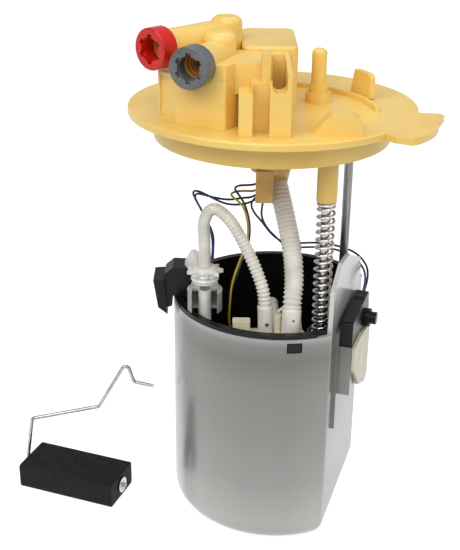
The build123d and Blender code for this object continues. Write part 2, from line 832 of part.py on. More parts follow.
with BuildPart() as flange_skirt:
    # tapered skirt
    with BuildSketch(Plane.XZ):
        with BuildLine():
            Polyline(
                (skirt_radius - skirt_wall, skirt_bottom_z),
                (skirt_radius, skirt_bottom_z),
                (skirt_radius + skirt_taper, flange_under_z),
                (skirt_radius + skirt_taper, flange_under_z + skirt_root),
                (skirt_radius - skirt_wall, flange_under_z + skirt_root),
                close=True,
            )
        make_face()
    revolve(axis=Axis.Z)
    # stiffening ribs under the disc
    with BuildSketch(under.offset(-rib_height)):
        with PolarLocations(middle((rib_inner_radius, skirt_radius - 1)), rib_count, start_angle=11):
            Rectangle(skirt_radius - 1 - rib_inner_radius, rib_thickness)
    extrude(amount=rib_height)
save(flange_skirt.part, "flange_skirt")

with BuildPart() as rod_sleeves:
    for rod, radius, low in (
        (rod_front, front_sleeve_radius, front_sleeve_z),
        (rod_rear, rear_sleeve_radius, rear_sleeve_z),
    ):
        with BuildSketch(Plane.XY.offset(low)):
            with Locations(rod):
                Circle(radius)
        extrude(amount=flange_under_z - low)
        with Locations((*rod, flange_under_z - 1)):
            Cylinder(
                rod_radius + rod_press_gap,
                flange_under_z - low,
                align=(Align.CENTER, Align.CENTER, Align.MAX),
                mode=Mode.SUBTRACT,
            )
save(rod_sleeves.part, "rod_sleeves")

# ------------------------------------------------------------------ port housing on the flange
def pipe_run(face, angle, distance, rise, radius):
    """One port's pipe, straight from its mouth to an upright leg with a rounded top."""
    with BuildPart() as run:
        leg = port_plane(face, angle, distance).origin
        with BuildSketch(Plane(origin=(leg.X, leg.Y, block_top_z))):
            Circle(radius)
        extrude(amount=face[2] + rise - block_top_z)
        fillet(run.faces().sort_by(Axis.Z)[-1].edges(), radius=port_leg_fillet)
        with BuildSketch(port_plane(face, angle, port_setback)):
            Circle(radius)
        extrude(amount=distance - port_setback)
    return run.part


def port_pipe(face, angle, distance, rise):
    """The pipe on its saddle, with the chamber, the spigot's bore and the passage behind it."""
    with BuildPart() as pipe:
        add(pipe_run(face, angle, distance, rise, port_front_radius))
        saddle_from = port_plane(face, angle, saddle_setback).origin
        with BuildSketch(Plane(origin=(saddle_from.X, saddle_from.Y, block_top_z))):
            Rectangle(distance - saddle_setback, saddle_width, rotation=90 - angle, align=(Align.MIN, Align.CENTER))
        extrude(amount=face[2] - block_top_z)
        depth = port_setback
        for radius, length in (
            (chamber_radius, chamber_length),
            (spigot_bore_radius, spigot_bore_length),
            (port_passage_radius, port_passage_length),
        ):
            with BuildSketch(port_plane(face, angle, depth)):
                Circle(radius)
            extrude(amount=length, mode=Mode.SUBTRACT)
            depth += length
    return pipe.part


grey_envelope, red_envelope = (pipe_run(*port, port_front_radius + joint_gap) for port in ports)
save(port_pipe(*ports[1]), "red_port_pipe")

with BuildPart() as grey_port_pipe:
    add(port_pipe(*ports[0]))
    add(red_envelope, mode=Mode.SUBTRACT)
save(grey_port_pipe.part, "grey_port_pipe")


def tower_plan(margin):
    """Plan of the tall tower at the back."""
    with BuildSketch(top) as plan:
        with Locations((middle(tower_x), middle(tower_y))):
            RectangleRounded(span(tower_x) + 2 * margin, span(tower_y) + 2 * margin, tower_corner + margin)
    return plan.sketch


with BuildPart() as port_tower:
    with BuildSketch(top):
        add(tower_plan(0))
    extrude(amount=tower_height)
    fillet(port_tower.faces().sort_by(Axis.Z)[-1].edges(), radius=tower_crown_radius)
    # hollow, open below
    with BuildSketch(top):
        with Locations(tower_hollow_at):
            RectangleRounded(*tower_hollow_size, tower_corner - tower_wall)
    extrude(amount=tower_hollow_height, mode=Mode.SUBTRACT)
    add(red_envelope, mode=Mode.SUBTRACT)
save(port_tower.part, "port_tower")

with BuildPart() as port_block:
    # its front is square to the grey port, and steps back beside the socket
    with BuildSketch(top) as block_plan:
        with BuildLine():
            Polyline(
                block_left,
                block_corner,
                block_front,
                block_inset,
                (block_right, block_inset[1]),
                (block_right, block_back),
                close=True,
            )
        make_face()
        fillet(block_plan.vertices().sort_by(Axis.X)[:3], radius=block_corner_radius)
    extrude(amount=block_height)
    # recessed panel in its left-hand facet
    facet = Vector(*block_corner) - Vector(*block_left)
    facet_middle = (Vector(*block_left) + Vector(*block_corner)) / 2
    with BuildSketch(
        Plane(
            origin=(facet_middle.X, facet_middle.Y, flange_top_z + block_height / 2),
            x_dir=facet,
            z_dir=(facet.Y, -facet.X, 0),
        )
    ):
        Rectangle(facet.length - 2 * panel_edge, block_height - 2 * panel_edge)
    extrude(amount=-panel_depth, mode=Mode.SUBTRACT)
    # it closes on the tower and on the grey pipe
    with BuildSketch(top):
        add(tower_plan(joint_gap))
    extrude(amount=block_height, mode=Mode.SUBTRACT)
    add(grey_envelope, mode=Mode.SUBTRACT)
save(port_block.part, "port_block")

with BuildPart() as socket_housing:
    # raised part beside the grey pipe, standing on the block
    with BuildSketch(top.offset(block_height)) as raised_plan:
        with BuildLine():
            Polyline(
                raised_left,
                block_front,
                block_inset,
                (block_right, block_inset[1]),
                (block_right, raised_back[1]),
                raised_back,
                close=True,
            )
        make_face()
        fillet(raised_plan.vertices().sort_by(Axis.Y)[0], radius=block_corner_radius)
    extrude(amount=socket_height - block_height)
    # socket housing, overhanging at its left
    with BuildSketch(top.offset(socket_low)):
        with Locations((middle(socket_x), middle(socket_y))):
            RectangleRounded(span(socket_x), span(socket_y), 1.2)
    extrude(amount=socket_height - socket_low)
    with BuildSketch(top):
        with Locations((socket_x[1], socket_y[1])):
            RectangleRounded(socket_x[1] - shroud_x[0], span(socket_y), 1.2, align=(Align.MAX, Align.MAX))
    extrude(amount=socket_height)
    # shroud in front of it: low post, wall, and a higher right-hand side
    with BuildSketch(top):
        with Locations((middle(shroud_x), middle(shroud_y))):
            RectangleRounded(span(shroud_x), span(shroud_y), 1.2)
    extrude(amount=shroud_post_height)
    with BuildSketch(top):
        with Locations((shroud_x[1], shroud_y[0])):
            RectangleRounded(
                span(shroud_x) - shroud_post_width,
                span(shroud_y),
                1.0,
                align=(Align.MAX, Align.MIN),
            )
    extrude(amount=shroud_height)
    with BuildSketch(top):
        with Locations((shroud_x[1], shroud_y[0])):
            RectangleRounded(shroud_side_width, span(shroud_y), 1.0, align=(Align.MAX, Align.MIN))
    extrude(amount=shroud_side_height)
    # it closes on the block, the tower and the pipes
    add(port_block.part, mode=Mode.SUBTRACT)
    with BuildSketch(top):
        add(tower_plan(joint_gap))
    extrude(amount=socket_height, mode=Mode.SUBTRACT)
    add(grey_envelope, mode=Mode.SUBTRACT)
    # well of the electrical socket, with the front slot and the round notch
    with BuildSketch(top.offset(well_floor_height)):
        with Locations((middle(well_x), middle(well_y))):
            RectangleRounded(span(well_x), span(well_y), 1.2)
    extrude(amount=2 * socket_height, mode=Mode.SUBTRACT)
    with BuildSketch(top):
        with Locations((middle(slot_x), shroud_y[0])):
            Rectangle(span(slot_x), slot_depth, align=(Align.CENTER, Align.MIN))
    extrude(amount=shroud_side_height, mode=Mode.SUBTRACT)
    with BuildSketch(Plane(origin=(0, shroud_y[0], 0), z_dir=(0, 1, 0), x_dir=(1, 0, 0))):
        with Locations((notch_x, -(flange_top_z + shroud_height))):
            Circle(notch_radius)
    extrude(amount=well_y[0] - shroud_y[0] + 1, both=True, mode=Mode.SUBTRACT)
    # key pillar between the slot and the well
    with BuildSketch(top):
        with Locations((middle(key_pillar_x), middle(key_pillar_y))):
            RectangleRounded(span(key_pillar_x), span(key_pillar_y), 0.8)
    extrude(amount=key_pillar_height)
save(socket_housing.part, "socket_housing")

# ------------------------------------------------------------------ pieces in the two ports
def port_retainer(face, angle):
    """Quick-connect retainer: outer ring over the pipe's end and an inner sleeve with finger slots."""
    with BuildPart() as retainer:
        with BuildSketch(port_plane(face, angle, 0)):
            Circle(retainer_radius)
        extrude(amount=retainer_length)
        fillet(retainer.edges().filter_by(GeomType.CIRCLE), radius=0.7)
        with BuildSketch(port_plane(face, angle, port_setback)):
            Circle(port_front_radius + retainer_clearance)
        extrude(amount=retainer_length, mode=Mode.SUBTRACT)
        with BuildSketch(port_plane(face, angle, port_setback)):
            Circle(chamber_radius - retainer_clearance)
        extrude(amount=retainer_length - port_setback - 1)
        with BuildSketch(port_plane(face, angle, 0)):
            Circle(retainer_opening)
        extrude(amount=2 * retainer_length, mode=Mode.SUBTRACT)
        with BuildSketch(port_plane(face, angle, 0)):
            with PolarLocations(retainer_opening, finger_count, start_angle=30):
                Rectangle(2 * finger_slot_reach, finger_slot_width)
        extrude(amount=port_setback - 0.6, mode=Mode.SUBTRACT)
    return retainer.part


save(port_retainer(red_port_face, red_port_angle), "red_port_retainer")
save(port_retainer(grey_port_face, grey_port_angle), "grey_port_retainer")

with BuildPart() as port_seals:
    for face, angle, distance, rise in ports:
        seal_plane = port_plane(face, angle, port_setback + chamber_length - seal_section_radius - 0.3)
        with Locations(seal_plane):
            Torus(chamber_radius - seal_section_radius - 0.02, seal_section_radius)
save(port_seals.part, "port_seals")

with BuildPart() as terminal_pins:
    with BuildSketch(top.offset(well_floor_height)):
        with Locations((middle(well_x), middle(well_y))):
            with GridLocations(0, terminal_pitch, 1, terminal_count):
                Rectangle(terminal_thickness, terminal_width)
    extrude(amount=terminal_height)
save(terminal_pins.part, "terminal_pins")

# ------------------------------------------------------------------ outlet nozzle under the flange
nozzle_end = Plane(
    origin=supply_route[-1],
    z_dir=Vector(*supply_route[-2]) - Vector(*supply_route[-1]),
)
with BuildPart() as outlet_nozzle:
    with BuildSketch(Plane.XY.offset(nozzle_collar_z)):
        Circle(nozzle_radius)
    extrude(amount=flange_under_z - nozzle_collar_z)
    with BuildSketch(Plane.XY.offset(nozzle_collar_z)):
        Circle(nozzle_radius)
    with BuildSketch(nozzle_end):
        Circle(supply_hose_radius)
    loft()
    # barb that stands in the hose
    with BuildSketch(nozzle_end):
        Circle(supply_hose_bore - hose_fit)
    extrude(amount=nipple_height - 2)
    # passage
    with BuildSketch(nozzle_end.offset(nipple_height)):
        Circle(supply_hose_bore - hose_fit - 1)
    extrude(amount=-nipple_height - 16, mode=Mode.SUBTRACT)
    # guide block in front
    with BuildSketch(Plane.XY.offset(nozzle_block_z)):
        with Locations((-3.4, -9.2)):
            RectangleRounded(9, 3.6, 0.8)
    extrude(amount=nozzle_collar_z + 2 - nozzle_block_z)
save(outlet_nozzle.part, "outlet_nozzle")

# ------------------------------------------------------------------ guide rods, clips and spring
def guide_rod(rod):
    """Steel rod pressed into the flange, with a groove for its stop clip."""
    with BuildPart() as steel:
        with BuildSketch(Plane.XY.offset(rod_bottom_z)):
            with Locations(rod):
                Circle(rod_radius)
        extrude(amount=flange_under_z - 1 - rod_bottom_z)
        chamfer(steel.edges().filter_by(GeomType.CIRCLE), length=0.6)
        with BuildSketch(Plane.XY.offset(clip_z)):
            with Locations(rod):
                Circle(rod_radius + 1)
                Circle(rod_radius - clip_groove_depth, mode=Mode.SUBTRACT)
        extrude(amount=clip_thickness, mode=Mode.SUBTRACT)
    return steel.part


save(guide_rod(rod_front), "guide_rod_front")
save(guide_rod(rod_rear), "guide_rod_rear")

with BuildPart() as rod_clips:
    with BuildSketch(Plane.XY.offset(clip_z)):
        with Locations(rod_front, rod_rear):
            Circle(rod_radius + clip_reach)
            Circle(rod_radius - clip_groove_depth, mode=Mode.SUBTRACT)
            with Locations((0, rod_radius + clip_reach)):
                Rectangle(3.2, 2 * clip_reach + 2, mode=Mode.SUBTRACT)
    extrude(amount=clip_thickness)
save(rod_clips.part, "rod_clips")

with BuildPart() as spring:
    spring_low = spring_seat_z + spring_wire / 2
    spring_high = front_sleeve_z - spring_wire / 2 - spring_end_gap
    with BuildLine() as coil:
        Helix(
            pitch=(spring_high - spring_low) / spring_turns,
            height=spring_high - spring_low,
            radius=spring_coil_radius,
            center=(*rod_front, spring_low),
        )
    with BuildSketch(Plane(origin=coil.wire() @ 0, z_dir=coil.wire() % 0)):
        RegularPolygon(spring_wire / 2, 6)
    sweep(path=coil.wire(), is_frenet=True)
save(spring.part, "spring")

# ------------------------------------------------------------------ return elbow, plug and jet
with BuildPart() as return_elbow:
    elbow_x, elbow_y = elbow_at
    elbow_axis = Plane(origin=(elbow_x, elbow_y, 0), z_dir=(0, -1, 0), x_dir=(1, 0, 0))
    with BuildSketch(elbow_axis):
        with BuildLine():
            Polyline(
                (0, elbow_shoulder_z + 6),
                (return_hose_bore - hose_fit, elbow_shoulder_z + 6),
                (return_hose_bore - hose_fit, elbow_shoulder_z),
                (5.4, elbow_shoulder_z),
                (elbow_barb_radius, elbow_shoulder_z - 2.1),
                (5.8, elbow_shoulder_z - 2.1),
                (elbow_barb_radius, elbow_shoulder_z - 4.4),
                (5.8, elbow_shoulder_z - 4.4),
                (elbow_barb_radius, elbow_shoulder_z - 6.7),
                (6.0, elbow_shoulder_z - 6.7),
                (7.0, elbow_bowl_top_z + 3),
                (6.6, elbow_bowl_top_z),
                (0, elbow_bowl_top_z),
                close=True,
            )
        make_face()
    revolve(axis=Axis((elbow_x, elbow_y, 0), (0, 0, 1)))
    # pointed crown round the hose's end
    with BuildSketch(Plane.XY.offset(elbow_shoulder_z - 3.4)):
        with Locations(elbow_at):
            with PolarLocations((elbow_crown_radius + 5.8) / 2, elbow_crown_points):
                Triangle(a=3.4, b=elbow_crown_radius - 4.6, c=elbow_crown_radius - 4.6, rotation=-90)
    extrude(amount=2.2)
    # bowl, open at its front
    with BuildSketch(Plane.XY.offset(elbow_bowl_bottom_z)):
        with Locations(elbow_at):
            Circle(elbow_bowl_radius)
    extrude(amount=elbow_bowl_top_z - elbow_bowl_bottom_z)
    with BuildSketch(Plane.XY.offset(elbow_bowl_bottom_z + elbow_wall)):
        with Locations(elbow_at):
            Circle(elbow_bowl_radius - elbow_wall)
    extrude(amount=elbow_bowl_height - 2 * elbow_wall, mode=Mode.SUBTRACT)
    with Locations((elbow_x, elbow_y - elbow_bowl_radius, middle((elbow_bowl_bottom_z, elbow_bowl_top_z)))):
        Box(13.0, 2 * elbow_bowl_radius, 20.0, mode=Mode.SUBTRACT)
    # slanted jet tube in the bowl
    with BuildSketch(Plane.XY.offset(elbow_bowl_bottom_z)):
        with Locations(elbow_at):
            Circle(jet_tube_radius)
    extrude(amount=elbow_bowl_top_z - elbow_bowl_bottom_z)
    with BuildSketch(Plane.XY.offset(elbow_bowl_bottom_z)):
        with Locations(elbow_at):
            Circle(jet_tube_radius - 1)
    extrude(amount=elbow_bowl_height + 6, mode=Mode.SUBTRACT)
    with BuildSketch(Plane.XY.offset(elbow_bowl_bottom_z)):
        with Locations(elbow_at):
            Circle(return_hose_bore - hose_fit - 0.8)
    extrude(amount=4 * elbow_bowl_height, mode=Mode.SUBTRACT)
    # arm that holds the plug
    arm_run = Vector(plug_hold[0] - elbow_x, plug_hold[1] - elbow_y, 0)
    with BuildSketch(
        Plane(origin=(elbow_x, elbow_y, 0), x_dir=arm_run, z_dir=arm_run.cross(Vector(0, 0, 1)))
    ):
        with BuildLine():
            Polyline(
                (4, elbow_shoulder_z - 11),
                (4, elbow_shoulder_z - 1),
                (11, elbow_shoulder_z + 4),
                (14, elbow_shoulder_z + 4),
                (arm_run.length, plug_top_z + 2.5),
                (arm_run.length, plug_top_z),
                (12, plug_top_z),
                close=True,
            )
        make_face()
    extrude(amount=1.4, both=True)
save(return_elbow.part, "return_elbow")

with BuildPart() as return_downpipe:
    with BuildSketch(Plane.XY.offset(jet_top_z)):
        with Locations(elbow_at):
            Circle(jet_tube_radius)
            Circle(jet_tube_radius - 1, mode=Mode.SUBTRACT)
    extrude(amount=elbow_bowl_bottom_z - jet_top_z)
save(return_downpipe.part, "return_downpipe")

with BuildPart() as jet_nozzle:
    with BuildSketch(Plane.XY.offset(jet_bottom_z)):
        with Locations(elbow_at):
            Circle(jet_block_radius)
    extrude(amount=jet_top_z - jet_bottom_z)
    spout_plane = Plane(origin=(elbow_x, elbow_y, middle((jet_bottom_z, jet_top_z))), z_dir=(0, 1, 0))
    with BuildSketch(spout_plane):
        Circle(jet_spout_radius)
    extrude(amount=jet_spout_length)
    with BuildSketch(spout_plane):
        Circle(jet_spout_radius - 1)
    extrude(amount=jet_spout_length, mode=Mode.SUBTRACT)
    with BuildSketch(Plane.XY.offset(middle((jet_bottom_z, jet_top_z)))):
        with Locations(elbow_at):
            Circle(jet_tube_radius - 1)
    extrude(amount=jet_top_z, mode=Mode.SUBTRACT)
save(jet_nozzle.part, "jet_nozzle")

with BuildPart() as wiring_plug:
    with BuildSketch(Plane.XZ.offset(-plug_y[1])):
        with BuildLine():
            Polyline(
                (pot_left_x - 4.6, plug_top_z - 3.9),
                (pot_left_x - 0.1, plug_top_z),
                (pot_left_x + 10.7, plug_top_z - 0.4),
                (pot_left_x + 10.7, cup_rim_z),
                (pot_left_x - 0.7, cup_rim_z),
                (pot_left_x - 0.7, cup_rim_z - 6.0),
                (pot_left_x - 4.6, cup_rim_z - 7.0),
                close=True,
            )
        make_face()
    extrude(amount=span(plug_y))
    # plate that hangs outside the pot
    with BuildSketch(Plane.XZ.offset(-plug_y[1] - plug_plate_margin)):
        with BuildLine():
            Polyline(
                (pot_left_x - 10.5, plug_top_z - 6.6),
                (pot_left_x - 8.1, cup_rim_z - 6.0),
                (pot_left_x - 3.1, cup_rim_z - 10.0),
                (pot_left_x - 4.6, plug_top_z - 6.2),
                close=True,
            )
        make_face()
    extrude(amount=span(plug_y) + 2 * plug_plate_margin)
save(wiring_plug.part, "wiring_plug")

# ------------------------------------------------------------------ level sender
def sender_block(low, high):
    """The sender's outline between two offsets from the pot's axis: base with a round head."""
    with BuildPart() as block:
        with BuildSketch(flat_plane(low)):
            with Locations((middle(sender_base_s), middle(sender_base_z))):
                RectangleRounded(span(sender_base_s), span(sender_base_z), 2)
            with Locations((sender_s, sender_z)):
                Circle(sender_head_radius)
        extrude(amount=high - low)
    return block.part


with BuildPart() as sender_bracket:
    with BuildSketch(flat_plane(flat_offset)):
        with BuildLine():
            Polyline((-29, 120), (-29, 64), (24, 64), (30, 72), (30, 120), close=True)
        make_face()
    extrude(amount=bracket_thickness)
    # raised box below the sender, with a slot in its face
    with BuildSketch(flat_plane(flat_offset + bracket_thickness)):
        with Locations((middle(sender_base_s), bracket_box_low_z)):
            Rectangle(span(sender_base_s), sender_base_z[0] - bracket_box_low_z, align=(Align.CENTER, Align.MIN))
        with Locations((sender_s, sender_z)):
            Circle(sender_head_radius + joint_gap, mode=Mode.SUBTRACT)
        with Locations(bracket_slot_at):
            SlotOverall(14, 2.6, rotation=90, mode=Mode.SUBTRACT)
    extrude(amount=sender_thickness)
save(sender_bracket.part, "sender_bracket")

body_from = flat_offset + bracket_thickness
body_to = body_from + sender_thickness
with BuildPart() as sender_body:
    add(sender_block(body_from, body_to))
    with BuildSketch(flat_plane(body_from)):
        with Locations((sender_s, sender_z)):
            Circle(sender_pocket_radius)
    extrude(amount=sender_pocket_depth, mode=Mode.SUBTRACT)
    with BuildSketch(flat_plane(body_from)):
        with Locations((sender_s, sender_z)):
            Circle(sender_shaft_radius + hub_clearance)
    extrude(amount=2 * sender_thickness, mode=Mode.SUBTRACT)
save(sender_body.part, "sender_body")

with BuildPart() as sender_card:
    with BuildSketch(flat_plane(body_from)):
        with Locations((sender_s, sender_z)):
            Circle(sender_pocket_radius - 0.5)
    extrude(amount=card_thickness)
save(sender_card.part, "sender_card")

with BuildPart() as sender_hub:
    hub_from = body_to + 0.2
    with BuildSketch(flat_plane(hub_from)):
        with Locations((sender_s, sender_z)):
            Circle(hub_radius)
    extrude(amount=hub_thickness)
    with BuildSketch(flat_plane(hub_from + hub_thickness)):
        with Locations((sender_s, sender_z)):
            Circle(stub_radius)
    extrude(amount=stub_length)
    with BuildSketch(flat_plane(body_from + card_thickness + 0.3)):
        with Locations((sender_s, sender_z)):
            Circle(sender_shaft_radius)
    extrude(amount=hub_from - body_from - card_thickness - 0.3)
save(sender_hub.part, "sender_hub")

with BuildPart() as sender_wiper:
    with BuildSketch(flat_plane(body_from + card_thickness + 0.3)):
        with Locations((sender_s, sender_z)):
            with Locations((0, -wiper_reach / 2)):
                Rectangle(3, wiper_reach)
            Circle(sender_shaft_radius + rod_press_gap, mode=Mode.SUBTRACT)
    extrude(amount=0.6)
save(sender_wiper.part, "sender_wiper")

with BuildPart() as sender_plate:
    with BuildSketch(flat_plane(body_to)) as plate_plan:
        with BuildLine():
            Polyline((-25, 111.5), (-25, 98), (-9, 82), (10, 74), (17, 76), (17, 107), (-11, 111.5), close=True)
        make_face()
        fillet(plate_plan.vertices().sort_by(Axis.Z)[:2], radius=3)
    extrude(amount=plate_thickness)
save(sender_plate.part, "sender_plate")

with BuildPart() as sender_connector:
    with BuildSketch(flat_plane(body_from)):
        with Locations((sender_socket_s, middle(sender_socket_z))):
            RectangleRounded(6.4, span(sender_socket_z), 0.8)
    extrude(amount=5)
save(sender_connector.part, "sender_connector")

# ------------------------------------------------------------------ float and its wire
float_cos = math.cos(math.radians(float_angle))
float_sin = math.sin(math.radians(float_angle))
float_axis_z = float_height / 2


def along_float(distance):
    """Point on the float's own axis, distance from its middle towards its right-hand end."""
    return (float_centre[0] + distance * float_cos, float_centre[1] + distance * float_sin, float_axis_z)


float_plane = Plane(origin=along_float(0), z_dir=(float_cos, float_sin, 0), x_dir=(-float_sin, float_cos, 0))
with BuildPart() as float_block:
    with BuildSketch(float_plane.offset(-float_length / 2)):
        RectangleRounded(float_width, float_height, 2.0)
    extrude(amount=float_length)
    fillet(float_block.faces().sort_by(Axis.X)[0].edges(), radius=0.8)
    fillet(float_block.faces().sort_by(Axis.X)[-1].edges(), radius=0.8)
    with BuildSketch(float_plane.offset(-float_length)):
        Circle(float_wire_radius + float_wire_clearance)
    extrude(amount=2 * float_length, mode=Mode.SUBTRACT)
save(float_block.part, "float_block")

save(
    routed_tube(
        "float_wire",
        [
            along_float(float_length / 2 + wire_overhang),
            along_float(-float_length / 2 - wire_overhang),
            (-135.7, float_wire_y, 38.2),
            (-96.2, float_wire_y, 46.8),
            (-79.2, float_wire_y, 76.8),
            (-75.3, float_wire_y, 63.6),
            (-64.1, float_wire_y, 60.9),
        ],
        float_wire_radius,
        bend_limit=2.2,
    ),
    "float_wire",
)

with BuildPart() as float_push_nut:
    with BuildSketch(float_plane.offset(float_length / 2 + float_end_gap)):
        Circle(push_nut_radius)
        with PolarLocations(float_wire_radius + 1.2, push_nut_slots):
            Rectangle(2.2, 0.7, mode=Mode.SUBTRACT)
        Circle(float_wire_radius + rod_press_gap, mode=Mode.SUBTRACT)
    extrude(amount=push_nut_thickness)
save(float_push_nut.part, "float_push_nut")

# ------------------------------------------------------------------ wiring
with BuildPart() as harness_plug:
    with BuildSketch(Plane.XY.offset(harness_plug_z)):
        with Locations(harness_at):
            RectangleRounded(*harness_plug_size, 1)
    extrude(amount=flange_under_z - harness_plug_z)
    with BuildSketch(under):
        with Locations(harness_at):
            Rectangle(harness_plug_size[0] - 4, harness_plug_size[1] - 2)
    extrude(amount=flange_thickness + tower_hollow_height)
save(harness_plug.part, "harness_plug")

wire_top = harness_plug_z - wire_end_gap
wire_routes = {
    "plug_wire_front": [
        (-4.5, 14.5, wire_top), (-3.5, 14.5, 203), (-3, 13.8, 189), (-4, 13.5, 177), (-9.5, 12.5, 173),
        (-17, 12, 171.5), (-24.5, 11.5, 172.5), (-32.5, 11, 177), (-38.5, 9.5, 180.5), (-41, 4.5, 181.5),
        (-39, 0, 178.5), (-36, 1, 172.5), (-33, 5, 164.5), (-30.5, 8, 155.5), (-30, 9, 146.5),
        (-31, 5, 141), (-39.7, 1, 136.5),
    ],
    "plug_wire_back": [
        (-4.5, 19.5, wire_top), (-4, 19.5, 205), (-3.6, 19.2, 190.5), (-4, 18.5, 177.5), (-9, 17.5, 174),
        (-14, 17, 174), (-20.5, 16, 173), (-27, 15, 174), (-33.5, 14, 176), (-38, 12, 178),
        (-40, 7.5, 178.5), (-38.5, 3.5, 176), (-35.5, 4.5, 170.5), (-32.5, 8.5, 162.5), (-29.5, 12, 153.5),
        (-30, 13, 143.5), (-30, 7, 136), (-39.7, -2.5, 131.5),
    ],
    "pump_wire_front": [
        (-0.5, 14.5, wire_top), (-1.5, 15.5, 206), (-2, 16.6, 193), (-3.5, 17, 181.5), (-7.5, 17.5, 177.5),
        (-13, 17, 178), (-18.5, 15.5, 178), (-21, 10.5, 178), (-18, 6, 177), (-14, 5, 174),
        (-11.5, 4, 166.5), (-11, 1, 160), (-12, -5, 155.5), (-15.5, -11, 148.5), (-19.5, -16, 138.5),
        (-20.5, -18.5, 128), (-21, -15, 113), (-17.5, -5, 103), (-15, 6, 94),
    ],
    "pump_wire_back": [
        (-0.5, 19.5, wire_top), (-1.5, 20, 206), (-2, 21, 193), (-3.5, 21.5, 183), (-7.5, 21.5, 180),
        (-11.5, 21, 179.8), (-16, 19, 180.4), (-19, 14, 180.4), (-16.5, 9.5, 178.6), (-13, 8.5, 173.5),
        (-10.5, 8, 165), (-10, 5, 158.5), (-11, -1, 153.5), (-14.5, -7, 146), (-18.5, -12, 136),
        (-22, -14, 127), (-22, -9.5, 112.5), (-19, 2, 103), (-15.2, 17, 95),
    ],
    "sender_wire_front": [
        (4, 14.5, wire_top), (3.5, 14.5, 204), (1.5, 14.9, 189.5), (-2.5, 14.5, 176.5), (-3.5, 15, 170.5),
        (-4, 16.5, 163.5), (-0.5, 19, 155.5), (5.5, 22, 148.5), (10, 26.5, 142.5), (18, 32, 139),
        (30, 37.5, 137.5), (42, 35.5, 136.5), (52, 26, 134.5), (56.3, 15.3, 128.5), (53.2, 10.4, 121.1),
    ],
    "sender_wire_back": [
        (4, 19.5, wire_top), (3, 20, 206), (0.5, 20.9, 190), (-4.5, 21, 175), (-10, 20.5, 170),
        (-8, 20, 164.5), (-3, 21, 158.5), (2, 23.5, 150.5), (9, 28.5, 143.5), (16, 34.5, 140.5),
        (28.5, 40.5, 139), (41.5, 38.5, 138), (53, 29.5, 136.5), (58.3, 18.3, 129.5), (54.4, 12.6, 121.1),
    ],
}
for wire, route in wire_routes.items():
    save(routed_tube(wire, route, wire_radius), wire)

save(
    routed_tube(
        "manifold_bridge",
        [(4.1, -37.4, 131.9), (8.5, -37.2, 135.5), (14.5, -37.2, 133.5), (16.2, -37.2, 121)],
        bridge_radius,
        bend_limit=3.0,
    ),
    "manifold_bridge",
)
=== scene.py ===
"""Looks of an in-tank fuel pump module: a yellow flange on two guide rods, one sprung, over a milky pot.

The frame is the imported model's. Lengths are written in millimetres and turned into metres by mm(), apart from
those of the stage (the camera's clips, the floor and the lamps), which are in metres. Colours are linear RGB.
"""

import math

import bpy
from mathutils import Matrix, Vector


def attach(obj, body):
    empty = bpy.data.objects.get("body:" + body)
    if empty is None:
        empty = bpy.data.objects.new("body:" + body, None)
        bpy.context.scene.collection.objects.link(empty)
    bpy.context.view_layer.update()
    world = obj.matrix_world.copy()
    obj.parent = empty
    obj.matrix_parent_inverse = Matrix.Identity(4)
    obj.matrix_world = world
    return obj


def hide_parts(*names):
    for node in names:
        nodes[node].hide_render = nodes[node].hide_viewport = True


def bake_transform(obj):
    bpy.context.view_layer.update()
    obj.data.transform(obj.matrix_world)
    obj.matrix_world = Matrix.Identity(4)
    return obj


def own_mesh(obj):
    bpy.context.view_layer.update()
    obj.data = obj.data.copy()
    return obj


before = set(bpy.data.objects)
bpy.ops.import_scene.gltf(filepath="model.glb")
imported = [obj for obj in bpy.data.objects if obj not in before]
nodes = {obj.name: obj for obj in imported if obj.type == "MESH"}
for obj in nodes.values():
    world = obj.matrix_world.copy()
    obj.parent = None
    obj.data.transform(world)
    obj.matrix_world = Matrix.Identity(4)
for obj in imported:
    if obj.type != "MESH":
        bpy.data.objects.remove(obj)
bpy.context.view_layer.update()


def mm(*lengths):
    """Millimetres to metres, one number or a vector of them."""
    if len(lengths) == 1:
        return lengths[0] / 1000
    return Vector(length / 1000 for length in lengths)


def placed(name, data):
    """New object with that data, put in the scene."""
    made = bpy.data.objects.new(name, data)
    bpy.context.scene.collection.objects.link(made)
    return made


# ------------------------------------------------------------------ camera, fitted to the photograph
IMAGE_HEIGHT = 550  # pixels; the picture is taller than wide, so the sensor's width spans its height
FOCAL_LENGTH = 1050  # pixels
SENSOR = 36.0  # in millimetres, as Blender takes it
CAMERA_AT = mm(-20.54, -520.63, 365.09)
CAMERA_PITCH = math.radians(-23.787)
CAMERA_ROLL = math.radians(0.642)
CLIP_NEAR, CLIP_FAR = 0.01, 20

camera = placed("camera", bpy.data.cameras.new("camera"))
camera.data.sensor_width = SENSOR
camera.data.lens = FOCAL_LENGTH / IMAGE_HEIGHT * SENSOR
camera.data.clip_start = CLIP_NEAR
camera.data.clip_end = CLIP_FAR
camera.matrix_world = (
    Matrix.Translation(CAMERA_AT)
    @ Matrix.Rotation(math.radians(90) + CAMERA_PITCH, 4, "X")
    @ Matrix.Rotation(CAMERA_ROLL, 4, "Z")
)
bpy.context.scene.camera = camera
bpy.context.scene.view_settings.view_transform = "Standard"


# ------------------------------------------------------------------ shader building
NOISE_LOW, NOISE_HIGH = 0.3, 0.7  # most values of a noise lie between these
MIX_FACTOR, MIX_FIRST, MIX_SECOND, MIX_RESULT = 0, 6, 7, 2  # a mix node's sockets for colours
BEVEL_SAMPLES = 4


def level(value):
    """Neutral colour of that brightness."""
    return (value, value, value)


